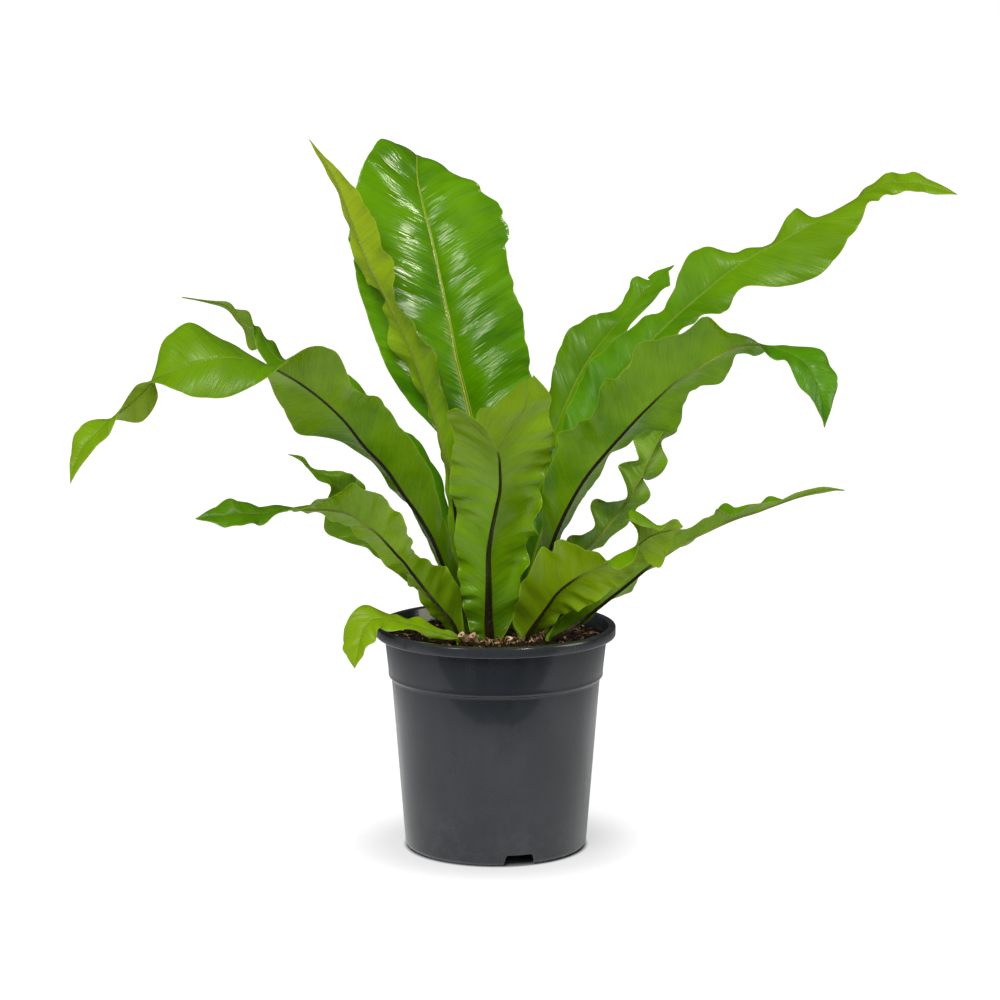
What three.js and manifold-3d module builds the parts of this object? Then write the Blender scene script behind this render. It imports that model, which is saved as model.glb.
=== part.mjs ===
// A bird's nest fern in a round plastic nursery pot.
// Millimetres, +Z up. The origin is under the middle of the pot, and -Y is the front.
import * as THREE from 'three';
import { mergeVertices } from 'three/addons/utils/BufferGeometryUtils.js';
import Module from 'manifold-3d';

const wasm = await Module();
wasm.setup();

// Pot
const POT_HEIGHT = 160;
const RIM_RADIUS = 85;
const RIM_DEPTH = 7.5;
const RIM_WIDTH = 5.5;
const NECK_RADIUS = 78.8;
const BAND_RADIUS = 76;
const BAND_BOTTOM = 123;
const BAND_STEP = 2.1;
const FOOT_RADIUS = 64.3;
const WALL = 1.6;
const POT_SIDES = 40;
const FOOT_EDGE = 5;
const SKIRT = 3.8;

// Underside of the pot: a disc and a skirt stand on the ground, the floor between them is raised
const FLOOR_RAISE = 9;
const DISC_RADIUS = 29;
const DISC_SLOPE = 3;
const NOTCHES = 3;
const NOTCH_ANGLE = -75;
const NOTCH_HEIGHT = 8;
const NOTCH_TOP_WIDTH = 18.5;
const NOTCH_FOOT_WIDTH = 22;
const NOTCH_CUT = 14;
const DRAIN_HOLES = 6;
const DRAIN_RADIUS = 4;
const DRAIN_RING = 47;
const DRAIN_SIDES = 12;

// Soil and crown
const GAP = 0.3;
const SOIL_TOP = 149.5;
const SOIL_RELIEF = 0.9;
const SOIL_RINGS = [70, 62, 54];
const CROWN_X = 4;
const CROWN_Y = 3;
const CROWN_RADIUS = 48;
const CROWN_DEPTH = 34;
const CROWN_TOP = 152;
const CROWN_SIDES = 36;
const CROWN_EDGE = 4;
const STALK_DEPTH = 12;
const STALK_GROW = 0.7;

// Old leaf bases left on the crown, cut short: x, y, lean angle outwards, height
const STUBS = [
  [-19, -29, 18, 3.4],
  [-11, -33, 12, 3],
  [9, -33, 20, 2.4],
  [-15, 20, 10, 6],
  [28, 28, 22, 6],
  [-2, -4, 5, 5],
];
const STUB_RADIUS = 3;
const STUB_ROOT = 6;
const STUB_TAPER = 0.85;
const STUB_SIDES = 10;

// Fronds
const BLADE_HALF = 0.5;
const RIDGE_BASE = 2.2;
const RIDGE_TIP = 0.3;
const STALK_RUN = 14;
const STALK_UPPER = 1;
const STALK_UNDER = 1.4;
const BULGE = 0.06;
const SECTION_STEP = 15;
const TIP_HALF = 0.8;
const ACROSS = [-1, -0.5, 0, 0.5, 1];
const RIDGE_SHARE = [0, 0.15, 1, 0.15, 0];

// Each row of a frond, from the crown to the tip, is a point of the midrib [x, y, z],
// then how far the left edge and the right edge lie from it, as [x, y, z] each.
// Left and right are those of somebody who looks at the underside with the tip up.
const FRONDS = {
  frond_front: [
    [-4, -22, 155, -9, 0, 0, 9, 0, 0],
    [-5, -25, 166, -14, 2, -3, 16, 2, -1],
    [-5, -28, 183, -18, 6, -3, 19, 6, -4],
    [-5, -31, 199, -21, 10, -3, 20, 10, -2],
    [-5, -35, 216, -22, 12, -3, 25, 13, -4],
    [-3, -39, 232, -25, 13, -2, 24, 13, -3],
    [0, -44, 248, -28, 13, -2, 20, 11, -3],
    [3, -49, 264, -34, 14, -2, 24, 14, -1],
    [3, -54, 278, -35, 14, -1, 31, 17, -3],
    [2, -58, 290, -31, 13, 2, 38, 18, -3],
    [-2, -63, 300, -27, 12, 2, 42, 18, 0],
    [-6, -67, 308, -25, 11, 3, 43, 16, 8],
    [-10, -71, 313, -22, 10, 5, 48, 15, 17],
    [-14, -74, 317, -19, 10, 4, 41, 12, 28],
  ],
  frond_left_low: [
    [-25, -16, 154, -3, 3, 0, 3, -3, 0],
    [-31, -19, 166, -7, 3, -2, 7, -3, 7],
    [-38, -23, 175, -8, 6, -4, 13, -5, 15],
    [-46, -28, 186, -8, 8, -2, 14, -8, 18],
    [-55, -33, 199, -6, 9, -3, 14, -9, 12],
    [-64, -38, 212, -6, 10, -10, 9, -8, 5],
    [-73, -43, 223, -7, 10, -10, 16, -12, 7],
    [-81, -48, 233, -9, 11, -8, 19, -14, 8],
    [-89, -53, 240, -9, 11, -7, 19, -14, 15],
    [-99, -58, 248, -8, 11, -8, 19, -15, 17],
    [-108, -63, 252, -8, 11, -6, 10, -15, 21],
    [-119, -68, 254, -6, 11, -5, 9, -14, 11],
    [-130, -73, 255, -4, 11, -4, 5, -13, 6],
    [-142, -79, 256, -1, 11, -1, 2, -12, 1],
    [-158, -86, 254, 0, 9, 4, 1, -10, -4],
    [-169, -92, 255, -2, 8, 6, 1, -10, -7],
    [-181, -97, 255, -2, 7, 9, 1, -9, -6],
    [-192, -102, 254, -1, 4, 5, 1, -5, -3],
    [-203, -107, 254, 0, 0, 0, 0, 0, 0],
  ],
  frond_left_long: [
    [-23, 0, 154, -3, 3, 0, 3, -3, 0],
    [-26, -3, 169, -5, 3, -1, 4, -3, 5],
    [-30, -7, 186, -6, 6, -1, 6, -6, 10],
    [-36, -13, 203, -5, 8, 4, 6, -9, 14],
    [-43, -19, 222, -7, 10, 4, 8, -11, 15],
    [-52, -27, 240, -7, 12, 4, 12, -13, 17],
    [-64, -36, 259, -7, 13, 1, 19, -15, 20],
    [-76, -46, 279, -10, 14, 1, 20, -17, 19],
    [-90, -57, 296, -13, 15, -1, 22, -18, 21],
    [-103, -69, 315, -20, 16, -13, 23, -19, 19],
    [-117, -81, 331, -20, 16, -23, 22, -19, 11],
    [-130, -93, 343, -15, 16, -17, 23, -20, 25],
    [-141, -104, 352, -11, 16, -10, 18, -19, 21],
    [-153, -115, 360, -6, 16, -2, 7, -17, -2],
    [-167, -124, 365, -5, 17, 4, 5, -16, -17],
    [-182, -132, 367, -6, 18, 13, 2, -16, -25],
    [-197, -139, 364, -7, 18, 25, 0, -15, -20],
    [-212, -145, 359, -8, 16, 18, 0, -13, -10],
    [-224, -149, 355, -2, 14, 1, 1, -11, -1],
    [-232, -153, 347, 9, 14, -7, -3, -10, 6],
    [-241, -157, 339, 8, 13, -13, -1, -9, 3],
    [-250, -160, 332, 1, 11, -4, 2, -9, 1],
    [-259, -163, 324, -5, 9, 4, 6, -8, -4],
    [-269, -166, 313, -7, 7, 8, 7, -6, -1],
    [-276, -168, 299, -3, 4, 7, 4, -3, 1],
    [-279, -170, 288, 0, 0, 0, 0, 0, 0],
  ],
  frond_left_back: [
    [-25, 14, 154, 3, 2, 0, -3, -2, 0],
    [-25, 16, 170, 3, 3, 3, -6, -3, 0],
    [-32, 20, 194, 6, 6, 1, -6, -5, -2],
    [-39, 24, 216, 11, 8, -1, -8, -7, -3],
    [-47, 28, 239, 14, 10, -5, -10, -8, -5],
    [-56, 32, 260, 15, 11, 1, -11, -9, -5],
    [-68, 36, 279, 13, 12, 4, -10, -10, -6],
    [-82, 40, 297, 13, 12, -4, -10, -10, -8],
    [-99, 44, 312, 12, 12, -2, -10, -10, -7],
    [-118, 48, 325, 11, 12, 6, -10, -10, -7],
    [-138, 52, 335, 6, 12, 4, -7, -10, -6],
    [-154, 55, 341, 3, 12, -1, -6, -10, -6],
    [-164, 58, 351, 4, 12, 2, -5, -10, -3],
    [-169, 60, 364, 0, 12, -15, -3, -10, -7],
    [-176, 62, 364, -1, 12, -17, 1, -10, 11],
    [-183, 64, 369, 0, 10, -7, 0, -8, 8],
    [-193, 66, 379, 1, 8, -5, 1, -6, 3],
    [-206, 68, 382, 0, 4, -2, -1, -3, 1],
    [-226, 70, 385, 0, 0, 0, 0, 0, 0],
  ],
  frond_left_inner: [
    [-32, 6, 153, 3, 2, 0, -3, -2, 0],
    [-37, 4, 170, 4, 3, 4, -4, -3, 0],
    [-50, 1, 188, 6, 5, 6, -8, -5, -1],
    [-65, -3, 206, 5, 7, 7, -12, -7, -1],
    [-78, -7, 219, 8, 8, 8, -13, -8, -2],
    [-89, -11, 233, 8, 8, 8, -16, -9, -10],
    [-98, -15, 244, 9, 8, 10, -19, -10, -15],
    [-104, -19, 254, 10, 8, 9, -16, -10, -11],
    [-109, -23, 261, 8, 7, 9, -7, -9, -7],
    [-114, -27, 267, 6, 6, 6, -2, -8, -2],
    [-121, -31, 272, 2, 5, 2, -4, -6, -1],
    [-129, -34, 278, 2, 4, -2, -2, -4, 0],
    [-135, -37, 284, 2, 2, 1, 0, -2, -1],
    [-144, -40, 288, 0, 0, 0, 0, 0, 0],
  ],
  frond_over_rim: [
    [-26, -25, 154, 1, 3, 0, -1, -3, 0],
    [-34, -31, 158, 1, 3, 3, -3, -3, -2],
    [-44, -36, 162, 1, 6, 2, -5, -5, -3],
    [-54, -39, 166, -1, 8, 5, -4, -7, 0],
    [-65, -41, 169, -1, 9, 2, -1, -8, -4],
    [-76, -43, 172, 0, 10, 3, 0, -9, -6],
    [-85, -45, 172, -5, 10, 8, 4, -9, -5],
    [-91, -47, 166, -12, 9, 4, 8, -9, -5],
    [-94, -49, 157, -13, 8, 2, 6, -8, -1],
    [-96, -51, 148, -8, 5, -1, 3, -5, 0],
    [-98, -53, 139, 0, 0, 0, 0, 0, 0],
  ],
  frond_tall: [
    [-7, 14, 155, 4, 0, 0, -4, 0, 0],
    [-9, 20, 199, 10, -2, -1, -10, -2, -1],
    [-11, 28, 230, 18, -5, 0, -13, -5, 0],
    [-13, 37, 261, 26, -8, 3, -15, -8, 0],
    [-16, 46, 288, 34, -10, 7, -25, -10, 1],
    [-21, 55, 312, 46, -11, 11, -41, -11, 1],
    [-28, 63, 339, 52, -12, 5, -52, -12, 1],
    [-33, 71, 364, 53, -12, 3, -56, -12, 1],
    [-38, 79, 387, 52, -12, 3, -59, -12, -1],
    [-43, 88, 410, 51, -12, 3, -59, -12, -1],
    [-48, 97, 431, 57, -11, 1, -57, -12, -5],
    [-53, 107, 448, 55, -10, 2, -50, -11, 2],
    [-57, 118, 466, 41, -9, -2, -40, -10, 8],
    [-58, 132, 481, 25, -7, -11, -26, -8, 13],
    [-60, 155, 478, 20, -3, -13, -16, -6, 2],
    [-60, 182, 461, 0, 0, 0, 0, 0, 0],
  ],
  frond_slim: [
    [-19, 8, 155, -3, -1, 0, 3, 1, 0],
    [-22, 10, 181, -5, 2, -1, 4, -2, 2],
    [-26, 14, 214, -6, 4, 0, 6, -4, 1],
    [-30, 18, 250, -5, 6, -1, 5, -6, 3],
    [-34, 21, 273, -4, 7, 2, 5, -8, 4],
    [-39, 24, 291, -3, 8, 0, 9, -9, 6],
    [-46, 28, 313, -4, 9, -1, 12, -10, 7],
    [-54, 32, 336, -8, 10, -1, 14, -12, 8],
    [-62, 36, 356, -13, 10, -3, 11, -12, 4],
    [-71, 40, 375, -7, 10, -1, 7, -12, 2],
    [-79, 44, 391, -6, 10, 1, 6, -12, 2],
    [-89, 48, 409, -7, 10, -6, 18, -12, 0],
    [-96, 52, 425, -7, 9, 0, 16, -11, -1],
    [-104, 55, 445, -4, 7, 1, 16, -9, 1],
    [-113, 58, 468, -4, 5, 1, 10, -6, 0],
    [-123, 60, 485, -3, 2, 0, 3, -2, 0],
    [-133, 62, 499, 0, 0, 0, 0, 0, 0],
  ],
  frond_right_arch: [
    [25, 0, 155, -3, -3, 0, 3, 3, 0],
    [28, -3, 169, -4, -3, 5, 5, 3, 4],
    [33, -9, 195, -6, -6, 8, 7, 6, 2],
    [39, -15, 219, -8, -8, 6, 7, 9, 2],
    [46, -21, 238, -13, -11, 11, 6, 11, -1],
    [54, -27, 255, -21, -13, 16, 6, 12, -6],
    [63, -33, 271, -21, -15, 17, 5, 13, -7],
    [74, -39, 286, -28, -16, 20, 4, 14, -5],
    [86, -45, 301, -23, -17, 15, 5, 15, -7],
    [98, -50, 315, -26, -18, 23, 8, 16, -14],
    [110, -55, 328, -26, -18, 19, 14, 16, -23],
    [122, -60, 340, -27, -18, 27, 8, 16, -16],
    [134, -64, 348, -23, -18, 26, 6, 15, -13],
    [145, -68, 356, -14, -17, 24, 9, 14, -17],
    [157, -71, 363, -14, -15, 26, 4, 13, -11],
    [167, -75, 368, -8, -13, 10, -1, 12, -9],
    [178, -79, 369, -1, -11, 2, -2, 11, -7],
    [187, -83, 368, 1, -11, -7, 1, 11, -2],
    [199, -88, 364, -2, -11, -6, 3, 11, 3],
    [209, -93, 358, -5, -11, -13, 12, 11, 8],
    [215, -98, 348, -5, -9, -12, 13, 10, 4],
    [219, -103, 335, -3, -6, -5, 11, 7, 6],
    [221, -108, 316, 0, 0, 0, 0, 0, 0],
  ],
  frond_right_long: [
    [20, 16, 155, 3, -3, 0, -3, 3, 0],
    [20, 20, 173, 5, -3, -1, -6, 3, 3],
    [27, 25, 201, 8, -5, 0, -7, 5, 5],
    [36, 31, 229, 9, -8, -1, -8, 8, 8],
    [46, 37, 256, 10, -10, -4, -9, 9, 9],
    [58, 44, 281, 13, -12, -5, -11, 9, 11],
    [72, 51, 305, 12, -13, -5, -16, 9, 10],
    [86, 58, 325, 14, -14, -5, -18, 9, 13],
    [102, 65, 343, 13, -14, -3, -15, 9, 11],
    [118, 72, 359, 11, -14, -2, -12, 9, 9],
    [135, 79, 374, 10, -14, -4, -11, 9, 3],
    [152, 85, 388, 12, -15, -13, -19, 9, 12],
    [169, 91, 401, 10, -15, -10, -24, 9, 16],
    [187, 97, 412, 19, -15, -20, -15, 9, 2],
    [205, 103, 421, 26, -15, -24, -5, 9, -1],
    [223, 109, 430, 26, -14, -15, -7, 9, 12],
    [241, 115, 439, 20, -13, -7, -4, 9, -2],
    [259, 121, 449, 14, -11, 1, -3, 9, -4],
    [276, 127, 458, 8, -9, -5, -4, 8, 0],
    [287, 131, 462, 5, -8, -7, -1, 7, 7],
    [296, 134, 461, 3, -8, -5, -1, 7, 4],
    [308, 138, 461, 1, -7, -5, -2, 6, 8],
    [323, 142, 457, 0, -4, -4, -1, 4, 5],
    [340, 146, 452, 0, 0, 0, 0, 0, 0],
  ],
  frond_right_inner: [
    [12, 22, 155, 3, -2, 0, -3, 2, 0],
    [10, 28, 173, 6, -3, -1, -6, 3, 3],
    [15, 38, 200, 9, -5, 0, -8, 5, 5],
    [22, 50, 227, 10, -6, 1, -10, 6, 7],
    [30, 62, 255, 12, -6, 0, -11, 6, 7],
    [40, 73, 281, 13, -6, -4, -9, 6, 9],
    [50, 83, 304, 14, -6, -4, -11, 6, 12],
    [60, 92, 324, 15, -6, -4, -16, 6, 14],
    [71, 100, 341, 14, -6, -3, -18, 6, 15],
    [82, 106, 354, 12, -6, -1, -13, 6, 12],
    [93, 111, 366, 10, -6, 1, -9, 6, 3],
    [102, 115, 376, 12, -6, 2, -6, 6, 5],
    [110, 119, 384, 13, -6, 1, -10, 6, 8],
    [117, 123, 391, 10, -6, 0, -7, 6, 3],
    [124, 127, 396, 3, -3, 2, -3, 3, 2],
    [131, 131, 402, 0, 0, 0, 0, 0, 0],
  ],
  frond_curly: [
    [38, 6, 153, -3, -2, 0, 3, 2, 0],
    [43, 8, 176, -5, -3, 3, 5, 3, -3],
    [52, 11, 195, -7, -5, 7, 6, 5, -4],
    [61, 14, 208, -10, -7, 12, 6, 7, -1],
    [68, 16, 215, -6, -8, 8, 8, 8, -3],
    [75, 18, 222, -5, -9, 8, 8, 8, -4],
    [80, 20, 227, -13, -10, 15, 9, 9, -5],
    [83, 22, 231, -12, -10, 17, 11, 9, -5],
    [88, 24, 236, -8, -10, 9, 8, 9, -5],
    [92, 26, 242, -2, -9, 4, 9, 9, -5],
    [96, 28, 246, -3, -9, 3, 12, 9, -5],
    [98, 30, 252, -6, -9, 4, 12, 9, -4],
    [101, 32, 257, -11, -9, 6, 4, 9, 2],
    [104, 34, 261, -16, -9, 8, 5, 9, -5],
    [106, 37, 266, -13, -9, 6, 12, 9, -6],
    [109, 40, 271, -7, -9, 2, 14, 9, -3],
    [112, 43, 277, -11, -9, 3, 8, 9, -1],
    [115, 46, 283, -16, -9, 5, 5, 9, 0],
    [120, 50, 291, -11, -7, 3, 10, 7, -1],
    [128, 54, 305, 0, 0, 0, 0, 0, 0],
  ],
  frond_right_low: [
    [39, -17, 154, -3, -3, 0, 3, 3, 0],
    [50, -16, 159, -8, -3, 4, 2, 3, -2],
    [63, -17, 168, -12, -6, 8, 3, 6, -2],
    [77, -20, 180, -12, -7, 8, 4, 8, -2],
    [92, -24, 193, -12, -7, 11, 4, 10, -3],
    [106, -29, 206, -10, -7, 12, 4, 11, -2],
    [121, -34, 218, -7, -7, 12, 4, 11, -1],
    [135, -39, 228, 0, -7, 11, 3, 10, -2],
    [147, -44, 235, -2, -7, 9, 2, 10, 4],
    [158, -48, 241, -4, -7, 7, 0, 11, 12],
    [169, -51, 246, -2, -7, 4, 0, 11, 4],
    [180, -54, 250, -1, -7, 5, 1, 10, 4],
    [189, -57, 254, -1, -7, 4, -1, 9, 6],
    [201, -60, 259, -1, -6, 3, 0, 7, -2],
    [215, -62, 264, 0, -4, 4, 1, 5, -2],
    [228, -64, 267, 0, -3, 2, 0, 3, -2],
    [240, -66, 267, 0, 0, 0, 0, 0, 0],
  ],
  frond_right_curl: [
    [21, -18, 155, -4, -3, 0, 4, 3, 0],
    [26, -21, 162, -14, -2, 4, 8, 3, -3],
    [35, -28, 176, -20, -5, 8, 10, 4, -6],
    [43, -36, 189, -23, -8, 11, 13, 4, -13],
    [54, -45, 200, -22, -10, 25, 14, 4, -17],
    [65, -53, 208, -17, -10, 23, 14, 4, -15],
    [75, -60, 214, -4, -12, 9, 16, 4, -10],
    [83, -65, 221, 0, -9, -8, 16, 4, -9],
    [92, -69, 226, 2, -9, -7, 11, 4, -9],
    [99, -73, 231, -2, -10, 10, 5, 4, -13],
    [105, -76, 236, -14, -8, 23, 8, 4, -21],
    [113, -79, 240, -4, -8, 7, 5, 4, -14],
    [120, -82, 242, 1, -5, 9, 1, 4, -5],
    [128, -85, 245, 0, 0, 0, 0, 0, 0],
  ],
  frond_rear: [
    [-2, 34, 155, 4, 0, 0, -4, 0, 0],
    [-9, 44, 176, 6, -3, 1, -7, -3, 1],
    [-16, 62, 206, 10, -6, 1, -10, -6, 1],
    [-20, 84, 239, 13, -9, 1, -13, -9, 1],
    [-24, 107, 270, 17, -11, 1, -16, -11, 1],
    [-28, 130, 297, 20, -12, 2, -20, -12, 1],
    [-31, 153, 320, 20, -12, 1, -21, -12, 1],
    [-34, 176, 335, 17, -10, 0, -17, -10, 0],
    [-35, 198, 340, 10, -6, 0, -9, -6, 0],
    [-35, 222, 334, 0, 0, 0, 0, 0, 0],
  ],
  frond_rear_right: [
    [14, 36, 155, 3, -3, 0, -3, 3, 0],
    [15, 44, 174, 5, -3, 0, -5, 3, 2],
    [22, 58, 203, 8, -5, -3, -7, 5, 3],
    [33, 74, 232, 10, -7, -4, -10, 7, 6],
    [48, 91, 262, 12, -9, -6, -11, 9, 7],
    [65, 108, 287, 12, -10, -7, -11, 10, 7],
    [82, 124, 305, 11, -10, -6, -9, 10, 7],
    [99, 139, 318, 8, -7, -5, -7, 7, 5],
    [117, 154, 327, 0, 0, 0, 0, 0, 0],
  ],
};

// Colours
const plastic = new THREE.MeshStandardMaterial({ color: 0x43484b, roughness: 0.38, metalness: 0 });
const earth = new THREE.MeshStandardMaterial({ color: 0x2b1d14, roughness: 0.95, metalness: 0 });
const scale = new THREE.MeshStandardMaterial({ color: 0x4a3524, roughness: 0.9, metalness: 0 });
const leaf = new THREE.MeshStandardMaterial({ color: 0x5f9a12, roughness: 0.35, metalness: 0 });

// A turned body from [radius, height] points that start and end on the axis, or close on themselves
function turned(points, sides) {
  const geometry = new THREE.LatheGeometry(points.map(([r, z]) => new THREE.Vector2(r, z)), sides);
  geometry.rotateX(Math.PI / 2);
  return geometry;
}

// Booleans
function solidOf(geometry) {
  const bare = geometry.clone();
  bare.deleteAttribute('normal');
  bare.deleteAttribute('uv');
  const merged = mergeVertices(bare, 1e-4);
  const vertProperties = new Float32Array(merged.attributes.position.array);
  const triVerts = new Uint32Array(merged.index.array);
  return new wasm.Manifold(new wasm.Mesh({ numProp: 3, vertProperties, triVerts }));
}

function geometryOf(solid) {
  const { vertProperties, triVerts } = solid.getMesh();
  const geometry = new THREE.BufferGeometry();
  geometry.setAttribute('position', new THREE.BufferAttribute(vertProperties, 3));
  geometry.setIndex(new THREE.BufferAttribute(triVerts, 1));
  geometry.computeVertexNormals();
  return geometry;
}

// A prism from a plan outline, between two heights
function prism(outline, bottom, top) {
  const shape = new THREE.Shape(outline.map(([x, y]) => new THREE.Vector2(x, y)));
  const geometry = new THREE.ExtrudeGeometry(shape, { depth: top - bottom, bevelEnabled: false });
  geometry.translate(0, 0, bottom);
  return geometry;
}

// Pot: the inside follows the outside one wall thickness away
const RIM_UNDER = POT_HEIGHT - RIM_DEPTH;
const BAND_TOP_INSIDE = BAND_BOTTOM - WALL;
const STEP_RADIUS = BAND_RADIUS - BAND_STEP;
const FLOOR_TOP = FLOOR_RAISE + WALL;

function potGeometry() {
  const outside = [
    [0, 0], [DISC_RADIUS, 0], [DISC_RADIUS + DISC_SLOPE, FLOOR_RAISE],
    [FOOT_RADIUS - 2, FLOOR_RAISE], [FOOT_RADIUS - 2.4, FOOT_EDGE], [FOOT_RADIUS - SKIRT, 1],
    [FOOT_RADIUS - SKIRT + 0.6, 0], [FOOT_RADIUS - 2.2, 0.2], [FOOT_RADIUS - 0.8, 1.8],
    [FOOT_RADIUS, FOOT_EDGE],
    [STEP_RADIUS, BAND_BOTTOM - 1], [STEP_RADIUS + 0.6, BAND_BOTTOM], [BAND_RADIUS, BAND_BOTTOM + 1.2],
    [NECK_RADIUS, RIM_UNDER], [RIM_RADIUS - 0.7, RIM_UNDER], [RIM_RADIUS, RIM_UNDER + 0.8],
    [RIM_RADIUS, POT_HEIGHT - 1], [RIM_RADIUS - 1, POT_HEIGHT],
  ];
  const inside = [
    [RIM_RADIUS - RIM_WIDTH, POT_HEIGHT], [RIM_RADIUS - RIM_WIDTH - 1, POT_HEIGHT - 1],
    [NECK_RADIUS - WALL, RIM_UNDER - 2], [BAND_RADIUS - WALL, BAND_BOTTOM + 1.2],
    [STEP_RADIUS - WALL, BAND_TOP_INSIDE], [FOOT_RADIUS - WALL + 0.4, FLOOR_TOP],
    [DISC_RADIUS + DISC_SLOPE - WALL, FLOOR_TOP], [DISC_RADIUS - WALL, WALL], [0, WALL],
  ];
  let pot = solidOf(turned([...outside, ...inside], POT_SIDES));
  for (let i = 0; i < NOTCHES; i += 1) {
    pot = pot.subtract(solidOf(notch(NOTCH_ANGLE + (360 * i) / NOTCHES)));
  }
  for (let i = 0; i < DRAIN_HOLES; i += 1) {
    pot = pot.subtract(solidOf(drain((2 * Math.PI * (i + 0.5)) / DRAIN_HOLES)));
  }
  return geometryOf(pot);
}

// A drainage notch through the foot skirt, narrower at its top
function notch(degrees) {
  const half = NOTCH_FOOT_WIDTH / 2;
  const narrow = NOTCH_TOP_WIDTH / 2;
  const outline = new THREE.Shape([[-half - 0.5, -1], [half + 0.5, -1], [narrow, NOTCH_HEIGHT],
    [-narrow, NOTCH_HEIGHT]].map(([x, y]) => new THREE.Vector2(x, y)));
  const geometry = new THREE.ExtrudeGeometry(outline, { depth: NOTCH_CUT, bevelEnabled: false });
  geometry.rotateX(Math.PI / 2);
  geometry.rotateZ(Math.PI / 2);
  geometry.translate(FOOT_RADIUS - 8, 0, 0);
  geometry.rotateZ(THREE.MathUtils.degToRad(degrees));
  return geometry;
}

// A round drain hole through the raised floor
function drain(angle) {
  const x = DRAIN_RING * Math.cos(angle);
  const y = DRAIN_RING * Math.sin(angle);
  const circle = Array.from({ length: DRAIN_SIDES }, (_, k) => {
    const turn = (2 * Math.PI * k) / DRAIN_SIDES;
    return [x + DRAIN_RADIUS * Math.cos(turn), y + DRAIN_RADIUS * Math.sin(turn)];
  });
  return prism(circle, FLOOR_RAISE - 1, FLOOR_TOP + 1);
}

// Soil: it fills the pot to its inner wall and has a round hollow for the crown
function soilGeometry() {
  const wallAtTop = THREE.MathUtils.mapLinear(SOIL_TOP, BAND_BOTTOM, RIM_UNDER, BAND_RADIUS, NECK_RADIUS);
  const edge = wallAtTop - WALL - 2 * GAP;
  const outline = [
    [0, WALL + GAP], [DISC_RADIUS - WALL - 2 * GAP, WALL + GAP],
    [DISC_RADIUS + DISC_SLOPE - WALL - 2 * GAP, FLOOR_TOP + GAP],
    [FOOT_RADIUS - WALL - GAP, FLOOR_TOP + GAP], [STEP_RADIUS - WALL - 2 * GAP, BAND_TOP_INSIDE - 1],
    [STEP_RADIUS - WALL - 2 * GAP, BAND_BOTTOM + 2], [BAND_RADIUS - WALL - 2 * GAP, BAND_BOTTOM + 4],
    [edge, SOIL_TOP - 1], [edge - 1.5, SOIL_TOP], ...SOIL_RINGS.map((radius) => [radius, SOIL_TOP]),
    [0, SOIL_TOP],
  ];
  const body = turned(outline, POT_SIDES);
  // The rings of the top go gently up and down
  const place = body.attributes.position;
  for (let i = 0; i < place.count; i += 1) {
    const x = place.getX(i);
    const y = place.getY(i);
    const inner = Math.hypot(x, y) < edge - 1 && Math.hypot(x, y) > 1;
    if (inner && place.getZ(i) > SOIL_TOP - 0.5) {
      const lift = Math.sin(0.31 * x + 1.1) * Math.cos(0.27 * y) + 0.6 * Math.sin(0.17 * (x - y));
      place.setZ(i, SOIL_TOP + SOIL_RELIEF * lift);
    }
  }
  const hollow = turned(crownOutline(GAP, CROWN_TOP + 4), CROWN_SIDES);
  hollow.translate(CROWN_X, CROWN_Y, 0);
  return geometryOf(solidOf(body).subtract(solidOf(hollow)));
}

function crownOutline(grow, top) {
  const foot = CROWN_TOP - CROWN_DEPTH;
  const side = CROWN_RADIUS + grow;
  return [[0, foot - grow], [side * 0.6, foot - grow], [side * 0.9, foot + 8 - grow], [side, foot + 18],
    [side, top - 1.5], [side - CROWN_EDGE, top], [0, top]];
}

// Crown: the short rootstock that the fronds grow from, with a hole for each stalk
function crownGeometry(stalks) {
  const mound = turned(crownOutline(0, CROWN_TOP), CROWN_SIDES);
  mound.translate(CROWN_X, CROWN_Y, 0);
  let crown = solidOf(mound);
  for (const [x, y, lean, height] of STUBS) {
    crown = crown.add(solidOf(stub(x, y, lean, height)));
  }
  for (const outline of stalks) {
    const hole = prism(grown(outline, STALK_GROW), SOCKET_FLOOR, CROWN_TOP + 12);
    crown = crown.subtract(solidOf(hole));
  }
  return geometryOf(crown);
}

function stub(x, y, lean, height) {
  const radius = STUB_RADIUS * STUB_TAPER;
  const geometry = new THREE.CylinderGeometry(radius, STUB_RADIUS, height + STUB_ROOT, STUB_SIDES);
  geometry.rotateX(Math.PI / 2);
  geometry.rotateY(THREE.MathUtils.degToRad(lean));
  geometry.rotateZ(Math.atan2(y - CROWN_Y, x - CROWN_X));
  geometry.translate(x, y, CROWN_TOP + (height - STUB_ROOT) / 2);
  return geometry;
}

// An outline moved outwards from its middle
function grown(outline, by) {
  const middle = outline.reduce(([a, b], [x, y]) => [a + x / outline.length, b + y / outline.length], [0, 0]);
  return outline.map(([x, y]) => {
    const reach = Math.hypot(x - middle[0], y - middle[1]);
    const factor = 1 + by / reach;
    return [middle[0] + (x - middle[0]) * factor, middle[1] + (y - middle[1]) * factor];
  });
}

// Fronds: a blade lofted through the rows, thickened along its midrib, on a straight stalk
const STALK_FOOT = CROWN_TOP - STALK_DEPTH;
const SOCKET_FLOOR = STALK_FOOT - GAP;

function smooth(points, at) {
  const curve = new THREE.CatmullRomCurve3(points, false, 'catmullrom', 0.5);
  return curve.getPoint(at);
}

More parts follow.
